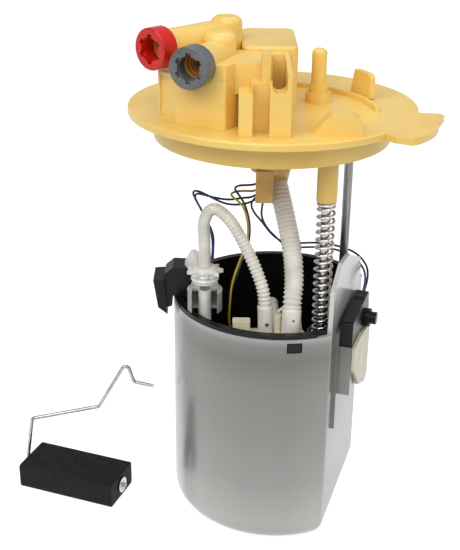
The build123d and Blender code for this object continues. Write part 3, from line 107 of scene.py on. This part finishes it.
class Shader:
    """A material under construction, with short ways to add and join nodes."""

    def __init__(self, name):
        self.material = bpy.data.materials.new(name)
        self.material.use_nodes = True
        self.tree = self.material.node_tree
        self.bsdf = self.tree.nodes["Principled BSDF"]
        self.place = self.add("ShaderNodeTexCoord").outputs["Object"]

    def add(self, kind, **settings):
        made = self.tree.nodes.new(kind)
        for key, value in settings.items():
            setattr(made, key, value)
        return made

    def join(self, source, target):
        self.tree.links.new(source, target)

    def drive(self, key, source):
        """Lets a source set one of the Principled inputs."""
        self.join(source, self.bsdf.inputs[key])

    def set(self, **values):
        """Constant Principled values; underscores stand for spaces."""
        for key, value in values.items():
            self.bsdf.inputs[key.replace("_", " ")].default_value = value

    def noise(self, scale, detail, roughness=0.5, stretch=None):
        """Clouds; scale is per metre, and stretch scales the three directions apart."""
        made = self.add("ShaderNodeTexNoise")
        made.inputs["Scale"].default_value = scale
        made.inputs["Detail"].default_value = detail
        made.inputs["Roughness"].default_value = roughness
        place = self.place
        if stretch:
            mapping = self.add("ShaderNodeMapping")
            mapping.inputs["Scale"].default_value = stretch
            self.join(place, mapping.inputs["Vector"])
            place = mapping.outputs["Vector"]
        self.join(place, made.inputs["Vector"])
        return made.outputs["Fac"]

    def ramp(self, source, stops):
        """Colour ramp; stops are (position, colour) pairs."""
        made = self.add("ShaderNodeValToRGB")
        elements = made.color_ramp.elements
        while len(elements) < len(stops):
            elements.new(0.5)  # its real position is set below
        for element, (position, colour) in zip(elements, stops):
            element.position = position
            element.color = (*colour, 1)
        self.join(source, made.inputs["Fac"])
        return made.outputs["Color"]

    def span(self, source, low, high, to_low, to_high):
        """The source's values from low to high, mapped to those from to_low to to_high."""
        made = self.add("ShaderNodeMapRange")
        for key, value in (("From Min", low), ("From Max", high), ("To Min", to_low), ("To Max", to_high)):
            made.inputs[key].default_value = value
        self.join(source, made.inputs["Value"])
        return made.outputs["Result"]

    def tint(self, noise, dark, light):
        """Colour between dark and light, as the noise goes."""
        return self.ramp(noise, [(NOISE_LOW, dark), (NOISE_HIGH, light)])

    def sway(self, noise, low, high):
        """Value between low and high, as the noise goes."""
        return self.span(noise, NOISE_LOW, NOISE_HIGH, low, high)

    def parts(self, source):
        """The X, Y and Z of a vector."""
        split = self.add("ShaderNodeSeparateXYZ")
        self.join(source, split.inputs["Vector"])
        return split.outputs

    def reach(self, source, centre):
        """Distance from a centre, in metres."""
        made = self.add("ShaderNodeVectorMath", operation="DISTANCE")
        self.join(source, made.inputs[0])
        made.inputs[1].default_value = centre
        return made.outputs["Value"]

    def combine(self, operation, first, second):
        """A sum, product, larger value or the like of two sources."""
        made = self.add("ShaderNodeMath", operation=operation)
        self.join(first, made.inputs[0])
        self.join(second, made.inputs[1])
        return made.outputs[0]

    def mix(self, kind, factor, first, second):
        """Two colours mixed; the factor and each colour are a source or a constant."""
        made = self.add("ShaderNodeMix", data_type="RGBA", blend_type=kind)
        if isinstance(factor, float):
            made.inputs[MIX_FACTOR].default_value = factor
        else:
            self.join(factor, made.inputs[MIX_FACTOR])
        for socket, value in ((made.inputs[MIX_FIRST], first), (made.inputs[MIX_SECOND], second)):
            if isinstance(value, tuple):
                socket.default_value = (*value, 1)
            else:
                self.join(value, socket)
        return made.outputs[MIX_RESULT]

    def relief(self, source, distance, edge=0.0):
        """Bump of that depth in metres, over edges that the shading rounds by edge metres."""
        bump = self.add("ShaderNodeBump")
        bump.inputs["Distance"].default_value = distance
        bump.inputs["Strength"].default_value = 1.0
        self.join(source, bump.inputs["Height"])
        if edge:
            bevel = self.add("ShaderNodeBevel", samples=BEVEL_SAMPLES)
            bevel.inputs["Radius"].default_value = edge
            self.join(bevel.outputs["Normal"], bump.inputs["Normal"])
        self.drive("Normal", bump.outputs["Normal"])


# ------------------------------------------------------------------ kinds of material
PLASTIC_EDGE = 0.4
PLASTIC_RELIEF = 0.03
PLASTIC_SWAY = (0.85, 1.2)  # least and most of the roughness that the grain gives
SPOT_RADIUS, SPOT_FADED = 0.7, 1.3
SPOT_COLOUR = (0.12, 0.03, 0.01)


def plastic(
    name, dark, light, roughness, mottle=60.0, grain=1800.0, depth=PLASTIC_RELIEF, edge=PLASTIC_EDGE,
    spots=(), **values,
):
    """Moulded plastic: two close colours in soft clouds, fine grain in its gloss and relief.

    mottle and grain are noise scales, and spots are places with a small brown mark.
    """
    shader = Shader(name)
    colour = shader.tint(shader.noise(mottle, detail=4), dark, light)
    for spot in spots:
        near = shader.span(shader.reach(shader.place, mm(*spot)), mm(SPOT_RADIUS), mm(SPOT_FADED), 1, 0)
        colour = shader.mix("MIX", near, colour, SPOT_COLOUR)
    shader.drive("Base Color", colour)
    fine = shader.noise(grain, detail=2)
    shader.drive("Roughness", shader.sway(fine, *(roughness * share for share in PLASTIC_SWAY)))
    shader.relief(fine, mm(depth), mm(edge))
    shader.set(**values)
    return shader.material


def lit_within(weight, tints, distance):
    """Principled values of a plastic that light goes some way into; tints weigh red, green and blue."""
    return {"Subsurface_Weight": weight, "Subsurface_Radius": tints, "Subsurface_Scale": mm(distance)}


METAL_EDGE = 0.2
METAL_RELIEF = 0.01
METAL_GRAIN = 900.0
METAL_SWAY = (0.7, 1.4)  # least and most of the roughness that the grain gives
DRAWN, COARSE, EVEN = (1, 1, 0.06), (0.2, 0.2, 0.2), (1, 1, 1)  # noise scaling; DRAWN gives streaks along Z


def metal(name, dark, light, roughness, stretch=DRAWN):
    """Bare metal: the same fine noise in its colour, gloss and relief."""
    shader = Shader(name)
    streaks = shader.noise(METAL_GRAIN, detail=3, roughness=0.6, stretch=stretch)
    shader.drive("Base Color", shader.tint(streaks, dark, light))
    shader.drive("Roughness", shader.sway(streaks, *(roughness * share for share in METAL_SWAY)))
    shader.relief(streaks, mm(METAL_RELIEF), mm(METAL_EDGE))
    shader.set(Metallic=1.0)
    return shader.material


POT_FADE_HEIGHT = 155.0
POT_FADE = [  # share of that height, colour
    (0.0, (0.80, 0.79, 0.77)),
    (0.06, (0.66, 0.65, 0.63)),
    (0.25, (0.47, 0.46, 0.445)),
    (0.45, (0.38, 0.37, 0.355)),
    (0.62, (0.33, 0.325, 0.31)),
    (0.73, (0.235, 0.235, 0.22)),
    (0.78, (0.30, 0.30, 0.285)),
    (0.84, (0.80, 0.80, 0.79)),
    (1.0, (0.86, 0.86, 0.86)),
]
POT_PAINTED_SHEEN = [  # painted sheen, reflections and shade: how far the wall faces right, from 0 (left) to 1 (right); brightness
    (0.0, 1.0), (0.035, 0.98), (0.06, 0.66), (0.13, 0.84), (0.35, 0.73), (0.55, 0.70), (0.80, 0.90),
    (0.95, 0.94), (0.975, 0.55),
]
POT_CLOUDS = [(0.35, 0.95), (0.65, 1.0)]  # noise, brightness
POT_GLOSS = (0.22, 0.30)
POT_RELIEF = 0.01


def pot_material():
    """Milky shell, grey where the black cup backs it and paler below and above, in upright stripes of painted
    sheen and reflection.
    """
    shader = Shader("pot_milky")
    height = shader.parts(shader.place)["Z"]
    fade = shader.ramp(shader.span(height, 0.0, mm(POT_FADE_HEIGHT), 0, 1), POT_FADE)
    facing = shader.parts(shader.add("ShaderNodeTexCoord").outputs["Normal"])["X"]
    # painted sheen: stripes of brightness by which way the wall faces, standing in for reflections and shade
    painted_sheen = shader.ramp(shader.span(facing, -1, 1, 0, 1), [(at, level(value)) for at, value in POT_PAINTED_SHEEN])
    mottle = shader.noise(scale=14, detail=3)
    clouds = shader.ramp(mottle, [(at, level(value)) for at, value in POT_CLOUDS])
    shaded = shader.mix("MULTIPLY", 1.0, fade, painted_sheen)
    shader.drive("Base Color", shader.mix("MULTIPLY", 1.0, shaded, clouds))
    soft = shader.noise(scale=30, detail=2)
    shader.drive("Roughness", shader.sway(soft, *POT_GLOSS))
    shader.relief(soft, mm(POT_RELIEF))
    shader.set(Metallic=0.15, Coat_Weight=0.3, Coat_Roughness=0.15)
    return shader.material


ELBOW_AT = (-33.6, -24.0)
JET_RADIUS, BOWL_RADIUS = 3.5, 3.7  # the bowl's look fades in between these radii
BOWL_TOP_LOW, BOWL_TOP_HIGH = 138.0, 138.6  # and out between these heights
BOWL_COLOUR = (0.30, 0.305, 0.30)
NYLON_ROUGHNESS, BOWL_ROUGHNESS = 0.32, 0.10
NYLON_RELIEF = 0.02


def elbow_material():
    """White nylon body and jet tube in a smoky, clearer bowl."""
    shader = Shader("elbow_nylon")
    place = shader.parts(shader.place)
    flat = shader.add("ShaderNodeCombineXYZ")
    shader.join(place["X"], flat.inputs["X"])
    shader.join(place["Y"], flat.inputs["Y"])
    off_axis = shader.reach(flat.outputs["Vector"], mm(*ELBOW_AT, 0))
    outside = shader.span(off_axis, mm(JET_RADIUS), mm(BOWL_RADIUS), 0, 1)
    low = shader.span(place["Z"], mm(BOWL_TOP_LOW), mm(BOWL_TOP_HIGH), 1, 0)
    bowl = shader.combine("MULTIPLY", outside, low)
    milky = shader.tint(shader.noise(scale=90, detail=4), (0.62, 0.61, 0.56), (0.80, 0.79, 0.75))
    shader.drive("Base Color", shader.mix("MIX", bowl, milky, BOWL_COLOUR))
    shader.drive("Roughness", shader.span(bowl, 0, 1, NYLON_ROUGHNESS, BOWL_ROUGHNESS))
    shader.relief(shader.noise(scale=1500, detail=2), mm(NYLON_RELIEF), mm(PLASTIC_EDGE))
    return shader.material


WEAVE_PITCH = 0.6
WEAVE_SHADE = 0.45  # brightness of the gaps, as a share of the thread's
GAP_LEVEL, THREAD_LEVEL = 0.4, 0.8
WEAVE_RELIEF = 0.1


def mesh_cloth(name, colour):
    """Woven strainer mesh."""
    shader = Shader(name)
    threads = []
    for direction in ("X", "Y"):
        wave = shader.add("ShaderNodeTexWave", wave_type="BANDS", bands_direction=direction)
        wave.inputs["Scale"].default_value = 1 / mm(WEAVE_PITCH) / 2
        shader.join(shader.place, wave.inputs["Vector"])
        threads.append(wave.outputs["Fac"])
    weave = shader.combine("MAXIMUM", *threads)
    dark = tuple(channel * WEAVE_SHADE for channel in colour)
    shader.drive("Base Color", shader.ramp(weave, [(GAP_LEVEL, dark), (THREAD_LEVEL, colour)]))
    shader.set(Roughness=0.8)
    shader.relief(weave, mm(WEAVE_RELIEF))
    return shader.material


# ------------------------------------------------------------------ the materials, and what wears them
GATE_MARKS = ((11.7, -48.8, 132.0), (-1.5, -42.8, 126.8))
GLOSSY_RELIEF = 0.003

yellow = plastic(
    "flange_yellow", (0.80, 0.53, 0.12), (0.90, 0.64, 0.18), 0.34, mottle=25, depth=0.004, edge=0.3,
    Coat_Weight=0.15, **lit_within(0.25, (1.0, 0.45, 0.12), 4),
)
red = plastic(
    "retainer_red", (0.50, 0.006, 0.004), (0.66, 0.012, 0.008), 0.2, depth=GLOSSY_RELIEF,
    Specular_IOR_Level=0.3, Coat_Weight=0.2,
)
grey = plastic(
    "retainer_grey", (0.085, 0.09, 0.095), (0.14, 0.15, 0.155), 0.25, depth=GLOSSY_RELIEF, Coat_Weight=0.15,
)
black = plastic("black_plastic", level(0.004), level(0.009), 0.32, depth=0.02, Specular_IOR_Level=0.22)
cup_black = plastic("cup_black", level(0.003), level(0.008), 0.28, depth=0.02, Specular_IOR_Level=0.25)
foam = plastic(
    "float_foam", (0.007, 0.0055, 0.0045), (0.016, 0.0135, 0.011), 0.62, mottle=300, grain=2600, depth=0.06,
    Specular_IOR_Level=0.2,
)
cream = plastic(
    "cream_acetal", (0.62, 0.56, 0.40), (0.76, 0.71, 0.55), 0.38, mottle=90,
    **lit_within(0.2, (1.0, 0.8, 0.5), 3),
)
amber = plastic(
    "nozzle_acetal", (0.66, 0.38, 0.08), (0.82, 0.56, 0.20), 0.35, mottle=70,
    **lit_within(0.25, (1.0, 0.6, 0.25), 4),
)
white_nylon = plastic(
    "white_nylon", (0.60, 0.60, 0.58), (0.78, 0.78, 0.76), 0.3, mottle=80,
    **lit_within(0.3, (1.0, 1.0, 0.9), 3),
)
hose_milky = plastic(
    "hose_milky", (0.58, 0.56, 0.49), (0.76, 0.75, 0.69), 0.30, mottle=120, spots=GATE_MARKS,
    Coat_Weight=0.2, **lit_within(0.35, (1.0, 0.9, 0.7), 3),
)
orange_seal = plastic("seal_orange", (0.45, 0.10, 0.01), (0.62, 0.17, 0.02), 0.3)
rubber = plastic("rubber_black", level(0.01), level(0.025), 0.6)
wire_blue = plastic("wire_blue", (0.02, 0.025, 0.16), (0.035, 0.045, 0.28), 0.28)
wire_yellow = plastic("wire_yellow", (0.40, 0.29, 0.02), (0.60, 0.46, 0.05), 0.3)
wire_black = plastic("wire_black", (0.006, 0.006, 0.008), level(0.02), 0.28)
steel = metal("drawn_steel", (0.16, 0.155, 0.15), (0.34, 0.33, 0.32), 0.28)
wire_steel = metal("arm_wire", (0.30, 0.29, 0.27), (0.60, 0.57, 0.54), 0.22, stretch=COARSE)
bright = metal("spring_chrome", (0.52, 0.51, 0.50), (0.86, 0.85, 0.84), 0.14, stretch=EVEN)
zinc = metal("zinc_case", (0.40, 0.40, 0.39), (0.62, 0.62, 0.60), 0.35)
tin = metal("contact_tin", (0.60, 0.50, 0.34), (0.80, 0.74, 0.60), 0.25)
ferrite = plastic("ferrite", (0.03, 0.03, 0.032), (0.07, 0.07, 0.075), 0.6, mottle=200)
strainer_cloth = mesh_cloth("strainer_mesh", (0.72, 0.70, 0.64))
pot = pot_material()
elbow_nylon = elbow_material()
rod_bright = metal("rod_bright", (0.34, 0.33, 0.31), (0.66, 0.64, 0.61), 0.2)

FINISH = {
    yellow: [
        "flange_cover", "flange_skirt", "rod_sleeves", "port_block", "socket_housing", "port_tower",
        "red_port_pipe", "grey_port_pipe",
    ],
    red: ["red_port_retainer"],
    grey: ["grey_port_retainer"],
    pot: ["reservoir_shell", "sender_bracket"],
    cup_black: ["inner_cup", "rod_guides"],
    black: [
        "pump_inlet_cover", "pump_cap", "pump_holder", "jet_nozzle", "wiring_plug", "sender_body",
        "sender_hub", "sender_connector", "harness_plug",
    ],
    rubber: ["foot_valve", "pump_sleeve"],
    foam: ["float_block"],
    cream: [
        "outlet_manifold", "manifold_bridge", "pump_pressure_plate", "pump_impeller", "sender_card",
        "sender_plate",
    ],
    white_nylon: ["return_downpipe"],
    elbow_nylon: ["return_elbow"],
    amber: ["outlet_nozzle"],
    hose_milky: ["outlet_pipe", "return_hose", "supply_hose"],
    orange_seal: ["port_seals"],
    rod_bright: ["guide_rod_front"],
    steel: ["guide_rod_rear", "pump_shaft"],
    wire_steel: ["float_wire"],
    bright: ["spring", "rod_clips", "float_push_nut"],
    zinc: ["pump_case"],
    tin: ["terminal_pins", "pump_commutator", "sender_wiper"],
    ferrite: ["pump_magnets", "pump_armature", "pump_brushes"],
    strainer_cloth: ["suction_strainer"],
}
for material, names in FINISH.items():
    for name in names:
        nodes[name].data.materials.clear()
        nodes[name].data.materials.append(material)


# ------------------------------------------------------------------ tubes along smooth routes
SPLINE_ORDER = 3
SPLINE_STEPS = 16


def smooth_line(route):
    """Points, in metres, along the NURBS spline that has the route as its control points."""
    curve = bpy.data.curves.new("route", "CURVE")
    curve.dimensions = "3D"
    spline = curve.splines.new("NURBS")
    spline.points.add(len(route) - 1)
    for point, place in zip(spline.points, route):
        point.co = (*mm(*place), 1)
    spline.order_u = SPLINE_ORDER
    spline.use_endpoint_u = True
    spline.resolution_u = SPLINE_STEPS
    holder = placed("route", curve)
    bpy.context.view_layer.update()
    mesh = bpy.data.meshes.new_from_object(holder)
    line = [vertex.co.copy() for vertex in mesh.vertices]
    bpy.data.objects.remove(holder)
    bpy.data.meshes.remove(mesh)
    return line


def line_length(line):
    return sum((b - a).length for a, b in zip(line, line[1:]))


def resample(line, step):
    """The same line with points every step metres or so."""
    total = line_length(line)
    count = max(2, round(total / step))
    places, travelled, index = [], 0.0, 0
    for k in range(count + 1):
        target = total * k / count
        while index < len(line) - 2 and travelled + (line[index + 1] - line[index]).length < target:
            travelled += (line[index + 1] - line[index]).length
            index += 1
        run = line[index + 1] - line[index]
        share = min(1.0, (target - travelled) / run.length) if run.length else 0.0
        places.append(line[index] + run * share)
    return places


def tube(name, line, radius, sides, material):
    """Closed tube along a line; radius is a number, or a function of (distance, length), all in metres."""
    radius_at = radius if callable(radius) else lambda distance, length: radius
    length = line_length(line)
    last = len(line) - 1
    tangents = [(line[min(k + 1, last)] - line[max(k - 1, 0)]).normalized() for k in range(len(line))]
    side = tangents[0].orthogonal().normalized()
    vertices, distance = [], 0.0
    for k, (place, tangent) in enumerate(zip(line, tangents)):
        if k:
            distance += (place - line[k - 1]).length
            side = (side - tangent * side.dot(tangent)).normalized()
        other = tangent.cross(side)
        size = radius_at(distance, length)
        for turn in range(sides):
            angle = 2 * math.pi * turn / sides
            vertices.append(place + side * (size * math.cos(angle)) + other * (size * math.sin(angle)))
    faces = []
    for k in range(last):
        for turn in range(sides):
            a = k * sides + turn
            b = k * sides + (turn + 1) % sides
            faces.append((a, b, b + sides, a + sides))
    faces.append(tuple(reversed(range(sides))))
    faces.append(tuple(range(last * sides, len(line) * sides)))
    mesh = bpy.data.meshes.new(name)
    mesh.from_pydata([tuple(vertex) for vertex in vertices], [], faces)
    mesh.shade_smooth()
    mesh.materials.append(material)
    return placed(name, mesh)


# ------------------------------------------------------------------ wiring, on the same routes as the solids
WIRE_DIAMETER = 1.2
WIRE_SIDES = 12
WIRE_TOP = 218.6
WIRES = {  # material, slot, height up to which the wire stays with the pot, route
    "plug_wire_front": (wire_blue, "wire_blue", 150, [
        (-4.5, 14.5, WIRE_TOP), (-3.5, 14.5, 203), (-3, 13.8, 189), (-4, 13.5, 177), (-9.5, 12.5, 173),
        (-17, 12, 171.5), (-24.5, 11.5, 172.5), (-32.5, 11, 177), (-38.5, 9.5, 180.5), (-41, 4.5, 181.5),
        (-39, 0, 178.5), (-36, 1, 172.5), (-33, 5, 164.5), (-30.5, 8, 155.5), (-30, 9, 146.5),
        (-31, 5, 141), (-39.7, 1, 136.5),
    ]),
    "plug_wire_back": (wire_black, "wire_black", 150, [
        (-4.5, 19.5, WIRE_TOP), (-4, 19.5, 205), (-3.6, 19.2, 190.5), (-4, 18.5, 177.5), (-9, 17.5, 174),
        (-14, 17, 174), (-20.5, 16, 173), (-27, 15, 174), (-33.5, 14, 176), (-38, 12, 178),
        (-40, 7.5, 178.5), (-38.5, 3.5, 176), (-35.5, 4.5, 170.5), (-32.5, 8.5, 162.5), (-29.5, 12, 153.5),
        (-30, 13, 143.5), (-30, 7, 136), (-39.7, -2.5, 131.5),
    ]),
    "pump_wire_front": (wire_yellow, "wire_yellow", 140, [
        (-0.5, 14.5, WIRE_TOP), (-1.5, 15.5, 206), (-2, 16.6, 193), (-3.5, 17, 181.5), (-7.5, 17.5, 177.5),
        (-13, 17, 178), (-18.5, 15.5, 178), (-21, 10.5, 178), (-18, 6, 177), (-14, 5, 174),
        (-11.5, 4, 166.5), (-11, 1, 160), (-12, -5, 155.5), (-15.5, -11, 148.5), (-19.5, -16, 138.5),
        (-20.5, -18.5, 128), (-21, -15, 113), (-17.5, -5, 103), (-15, 6, 94),
    ]),
    "pump_wire_back": (wire_black, "wire_black", 140, [
        (-0.5, 19.5, WIRE_TOP), (-1.5, 20, 206), (-2, 21, 193), (-3.5, 21.5, 183), (-7.5, 21.5, 180),
        (-11.5, 21, 179.8), (-16, 19, 180.4), (-19, 14, 180.4), (-16.5, 9.5, 178.6), (-13, 8.5, 173.5),
        (-10.5, 8, 165), (-10, 5, 158.5), (-11, -1, 153.5), (-14.5, -7, 146), (-18.5, -12, 136),
        (-22, -14, 127), (-22, -9.5, 112.5), (-19, 2, 103), (-15.2, 17, 95),
    ]),
    "sender_wire_front": (wire_blue, "wire_blue", 145, [
        (4, 14.5, WIRE_TOP), (3.5, 14.5, 204), (1.5, 14.9, 189.5), (-2.5, 14.5, 176.5), (-3.5, 15, 170.5),
        (-4, 16.5, 163.5), (-0.5, 19, 155.5), (5.5, 22, 148.5), (10, 26.5, 142.5), (18, 32, 139),
        (30, 37.5, 137.5), (42, 35.5, 136.5), (52, 26, 134.5), (56.3, 15.3, 128.5), (53.2, 10.4, 121.1),
    ]),
    "sender_wire_back": (wire_black, "wire_black", 145, [
        (4, 19.5, WIRE_TOP), (3, 20, 206), (0.5, 20.9, 190), (-4.5, 21, 175), (-10, 20.5, 170),
        (-8, 20, 164.5), (-3, 21, 158.5), (2, 23.5, 150.5), (9, 28.5, 143.5), (16, 34.5, 140.5),
        (28.5, 40.5, 139), (41.5, 38.5, 138), (53, 29.5, 136.5), (58.3, 18.3, 129.5), (54.4, 12.6, 121.1),
    ]),
}
for name, (material, slot, still_below, route) in WIRES.items():
    line = smooth_line(route)
    wire = tube("wire_" + name, line, mm(WIRE_DIAMETER / 2), WIRE_SIDES, material)
    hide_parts(name)
    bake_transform(wire)


# ------------------------------------------------------------------ corrugated hoses
HOSE_STEP = 0.3
HOSE_SIDES = 28
RIDGE_FADE = 1.5  # length over which a cuff turns into ridges
RIDGE_SETTLE = 1.4  # the ridges' depth settles after 1 / 1.4 of the length
RIDGE_CREST = 0.25  # share of a second, twice as quick wave, which narrows the crests


def ridged(mean, depth, pitch, plain_start, plain_end, cuff):
    """Radius of a hose: smooth ends and rounded ridges between them, the first end with a cuff's radius.

    mean and depth are (value at the start, value at the end), in millimetres like the rest.
    """

    def radius(distance, length):
        inside = min(distance - mm(plain_start), length - mm(plain_end) - distance)
        share = min(1.0, max(0.0, inside / mm(RIDGE_FADE)))
        along = distance / length
        body = mean[0] + (mean[1] - mean[0]) * along
        ridge = depth[0] + (depth[1] - depth[0]) * min(1.0, along * RIDGE_SETTLE)
        phase = 2 * math.pi * distance / mm(pitch)
        bumps = ridge * (math.cos(phase) + RIDGE_CREST * math.cos(2 * phase))
        end = cuff if distance < mm(plain_start) else body
        return mm(end * (1 - share) + (body + bumps) * share)

    return radius


RETURN_ROUTE = [
    (-2.2, -39.0, 121), (-2.2, -39.0, 140), (-6.5, -35.5, 152.5), (-13.5, -31, 166.5), (-20.5, -27.5, 178),
    (-29.5, -24.5, 184.5), (-34.6, -23.8, 176), (*ELBOW_AT, 165), (*ELBOW_AT, 151),
]
RETURN_SHAPE = ridged(mean=(2.9, 3.1), depth=(0.5, 0.06), pitch=2.1, plain_start=15, plain_end=8, cuff=3.9)
SUPPLY_ROUTE = [
    (10.6, -44, 121), (10.6, -44, 137), (12.3, -34, 150), (10.8, -21.5, 162.5), (7.6, -8.5, 175),
    (4, 1.5, 187.5),
]
SUPPLY_SHAPE = ridged(mean=(4.3, 5.1), depth=(0.55, 0.2), pitch=2.3, plain_start=15, plain_end=2, cuff=4.9)


def hose(name, node, route, shape):
    """Ridged hose in place of its plain solid."""
    made = tube(name, resample(smooth_line(route), mm(HOSE_STEP)), shape, HOSE_SIDES, hose_milky)
    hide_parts(node)
    return made


return_hose = hose("hose_return", "return_hose", RETURN_ROUTE, RETURN_SHAPE)
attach(return_hose, "reservoir")
supply_hose = hose("hose_supply", "supply_hose", SUPPLY_ROUTE, SUPPLY_SHAPE)
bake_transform(supply_hose)


# ------------------------------------------------------------------ spring
SPRING_AT = (27.0, -29.0)
SPRING_LOW, SPRING_HIGH = 115.0, 189.15
SPRING_RADIUS = 4.2
SPRING_WIRE_RADIUS = 0.8
SPRING_TURNS = 17  # open turns, with one closed turn more at each end
SPRING_STEPS = 36
SPRING_SIDES = 12


def spring_line():
    """Helix with a closed turn at each end."""
    line = []
    total = SPRING_TURNS + 2
    low, high = SPRING_LOW + SPRING_WIRE_RADIUS, SPRING_HIGH - SPRING_WIRE_RADIUS
    closed = 2 * SPRING_WIRE_RADIUS
    for k in range(total * SPRING_STEPS + 1):
        turn = k / SPRING_STEPS
        angle = 2 * math.pi * turn
        if turn < 1:
            z = low + closed * turn
        elif turn > total - 1:
            z = high - closed * (total - turn)
        else:
            z = low + closed + (high - low - 2 * closed) * (turn - 1) / SPRING_TURNS
        x = SPRING_AT[0] + SPRING_RADIUS * math.cos(angle)
        y = SPRING_AT[1] + SPRING_RADIUS * math.sin(angle)
        line.append(mm(x, y, z))
    return line


coil = tube("coil_spring", spring_line(), mm(SPRING_WIRE_RADIUS), SPRING_SIDES, bright)
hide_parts("spring")
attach(coil, "reservoir")
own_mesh(coil)


# ------------------------------------------------------------------ floor
FLOOR_HALF = 3.0
FLOOR_GLOW = 1.47
GLOW_SHARE = 0.55  # share of glow in the floor where it is looked at, straight or in a gloss
FLOOR_BOUNCE, FLOOR_SEEN = 0.50, 0.93  # its brightness for bounced light, and where it is looked at


def floor_material():
    """White paper that glows to the eye, and sends less light back up to the part than it seems to."""
    shader = Shader("floor")
    shader.set(Roughness=0.9)
    rays = shader.add("ShaderNodeLightPath").outputs
    direct = shader.combine("MAXIMUM", rays["Is Camera Ray"], rays["Is Glossy Ray"])
    seen = shader.combine("MAXIMUM", direct, rays["Is Transmission Ray"])
    share = shader.span(seen, 0, 1, 0, GLOW_SHARE)
    shader.drive("Base Color", shader.ramp(seen, [(0.0, level(FLOOR_BOUNCE)), (1.0, level(FLOOR_SEEN))]))
    glow = shader.add("ShaderNodeEmission")
    glow.inputs["Color"].default_value = (*level(1), 1)
    glow.inputs["Strength"].default_value = FLOOR_GLOW
    blend = shader.add("ShaderNodeMixShader")
    for source, target in zip((share, shader.bsdf.outputs[0], glow.outputs[0]), blend.inputs):
        shader.join(source, target)
    shader.join(blend.outputs[0], shader.tree.nodes["Material Output"].inputs["Surface"])
    return shader.material


floor_corners = [(x * FLOOR_HALF, y * FLOOR_HALF, 0) for x, y in ((-1, -1), (1, -1), (1, 1), (-1, 1))]
floor_mesh = bpy.data.meshes.new("floor")
floor_mesh.from_pydata(floor_corners, [], [(0, 1, 2, 3)])
floor_mesh.materials.append(floor_material())
floor = placed("floor", floor_mesh)


# ------------------------------------------------------------------ backdrop and lamps
SKY_LIGHT, SKY_SEEN = 0.45, 1.0  # its strength as a light, and where it is looked at
TARGET = (0, 0, 0.13)
LAMPS = (  # name, place, size, power in watts
    ("key", (-0.9, -1.0, 1.3), 0.9, 11),
    ("front", (0.1, -1.3, 1.35), 1.0, 9),
    ("fill", (1.3, -0.7, 0.8), 1.0, 4),
    ("top", (0.1, 0.3, 1.6), 1.0, 5),
)


def light_world():
    """White all round, dimmer as a light than where it is looked at."""
    world = bpy.data.worlds.new("studio")
    bpy.context.scene.world = world
    world.use_nodes = True
    tree = world.node_tree
    rays = tree.nodes.new("ShaderNodeLightPath").outputs
    seen = tree.nodes.new("ShaderNodeMath")
    seen.operation = "MAXIMUM"
    strength = tree.nodes.new("ShaderNodeMapRange")
    strength.inputs["To Min"].default_value = SKY_LIGHT
    strength.inputs["To Max"].default_value = SKY_SEEN
    sky = tree.nodes["Background"]
    sky.inputs["Color"].default_value = (*level(1), 1)
    tree.links.new(rays["Is Camera Ray"], seen.inputs[0])
    tree.links.new(rays["Is Transmission Ray"], seen.inputs[1])
    tree.links.new(seen.outputs[0], strength.inputs["Value"])
    tree.links.new(strength.outputs["Result"], sky.inputs["Strength"])


def lamp(name, place, size, power):
    """Square soft box aimed at the target."""
    data = bpy.data.lights.new(name, "AREA")
    data.size = size
    data.energy = power
    box = placed(name, data)
    box.location = place
    box.rotation_euler = (Vector(TARGET) - Vector(place)).to_track_quat("-Z", "Y").to_euler()


light_world()
for name, place, size, power in LAMPS:
    lamp(name, place, size, power)
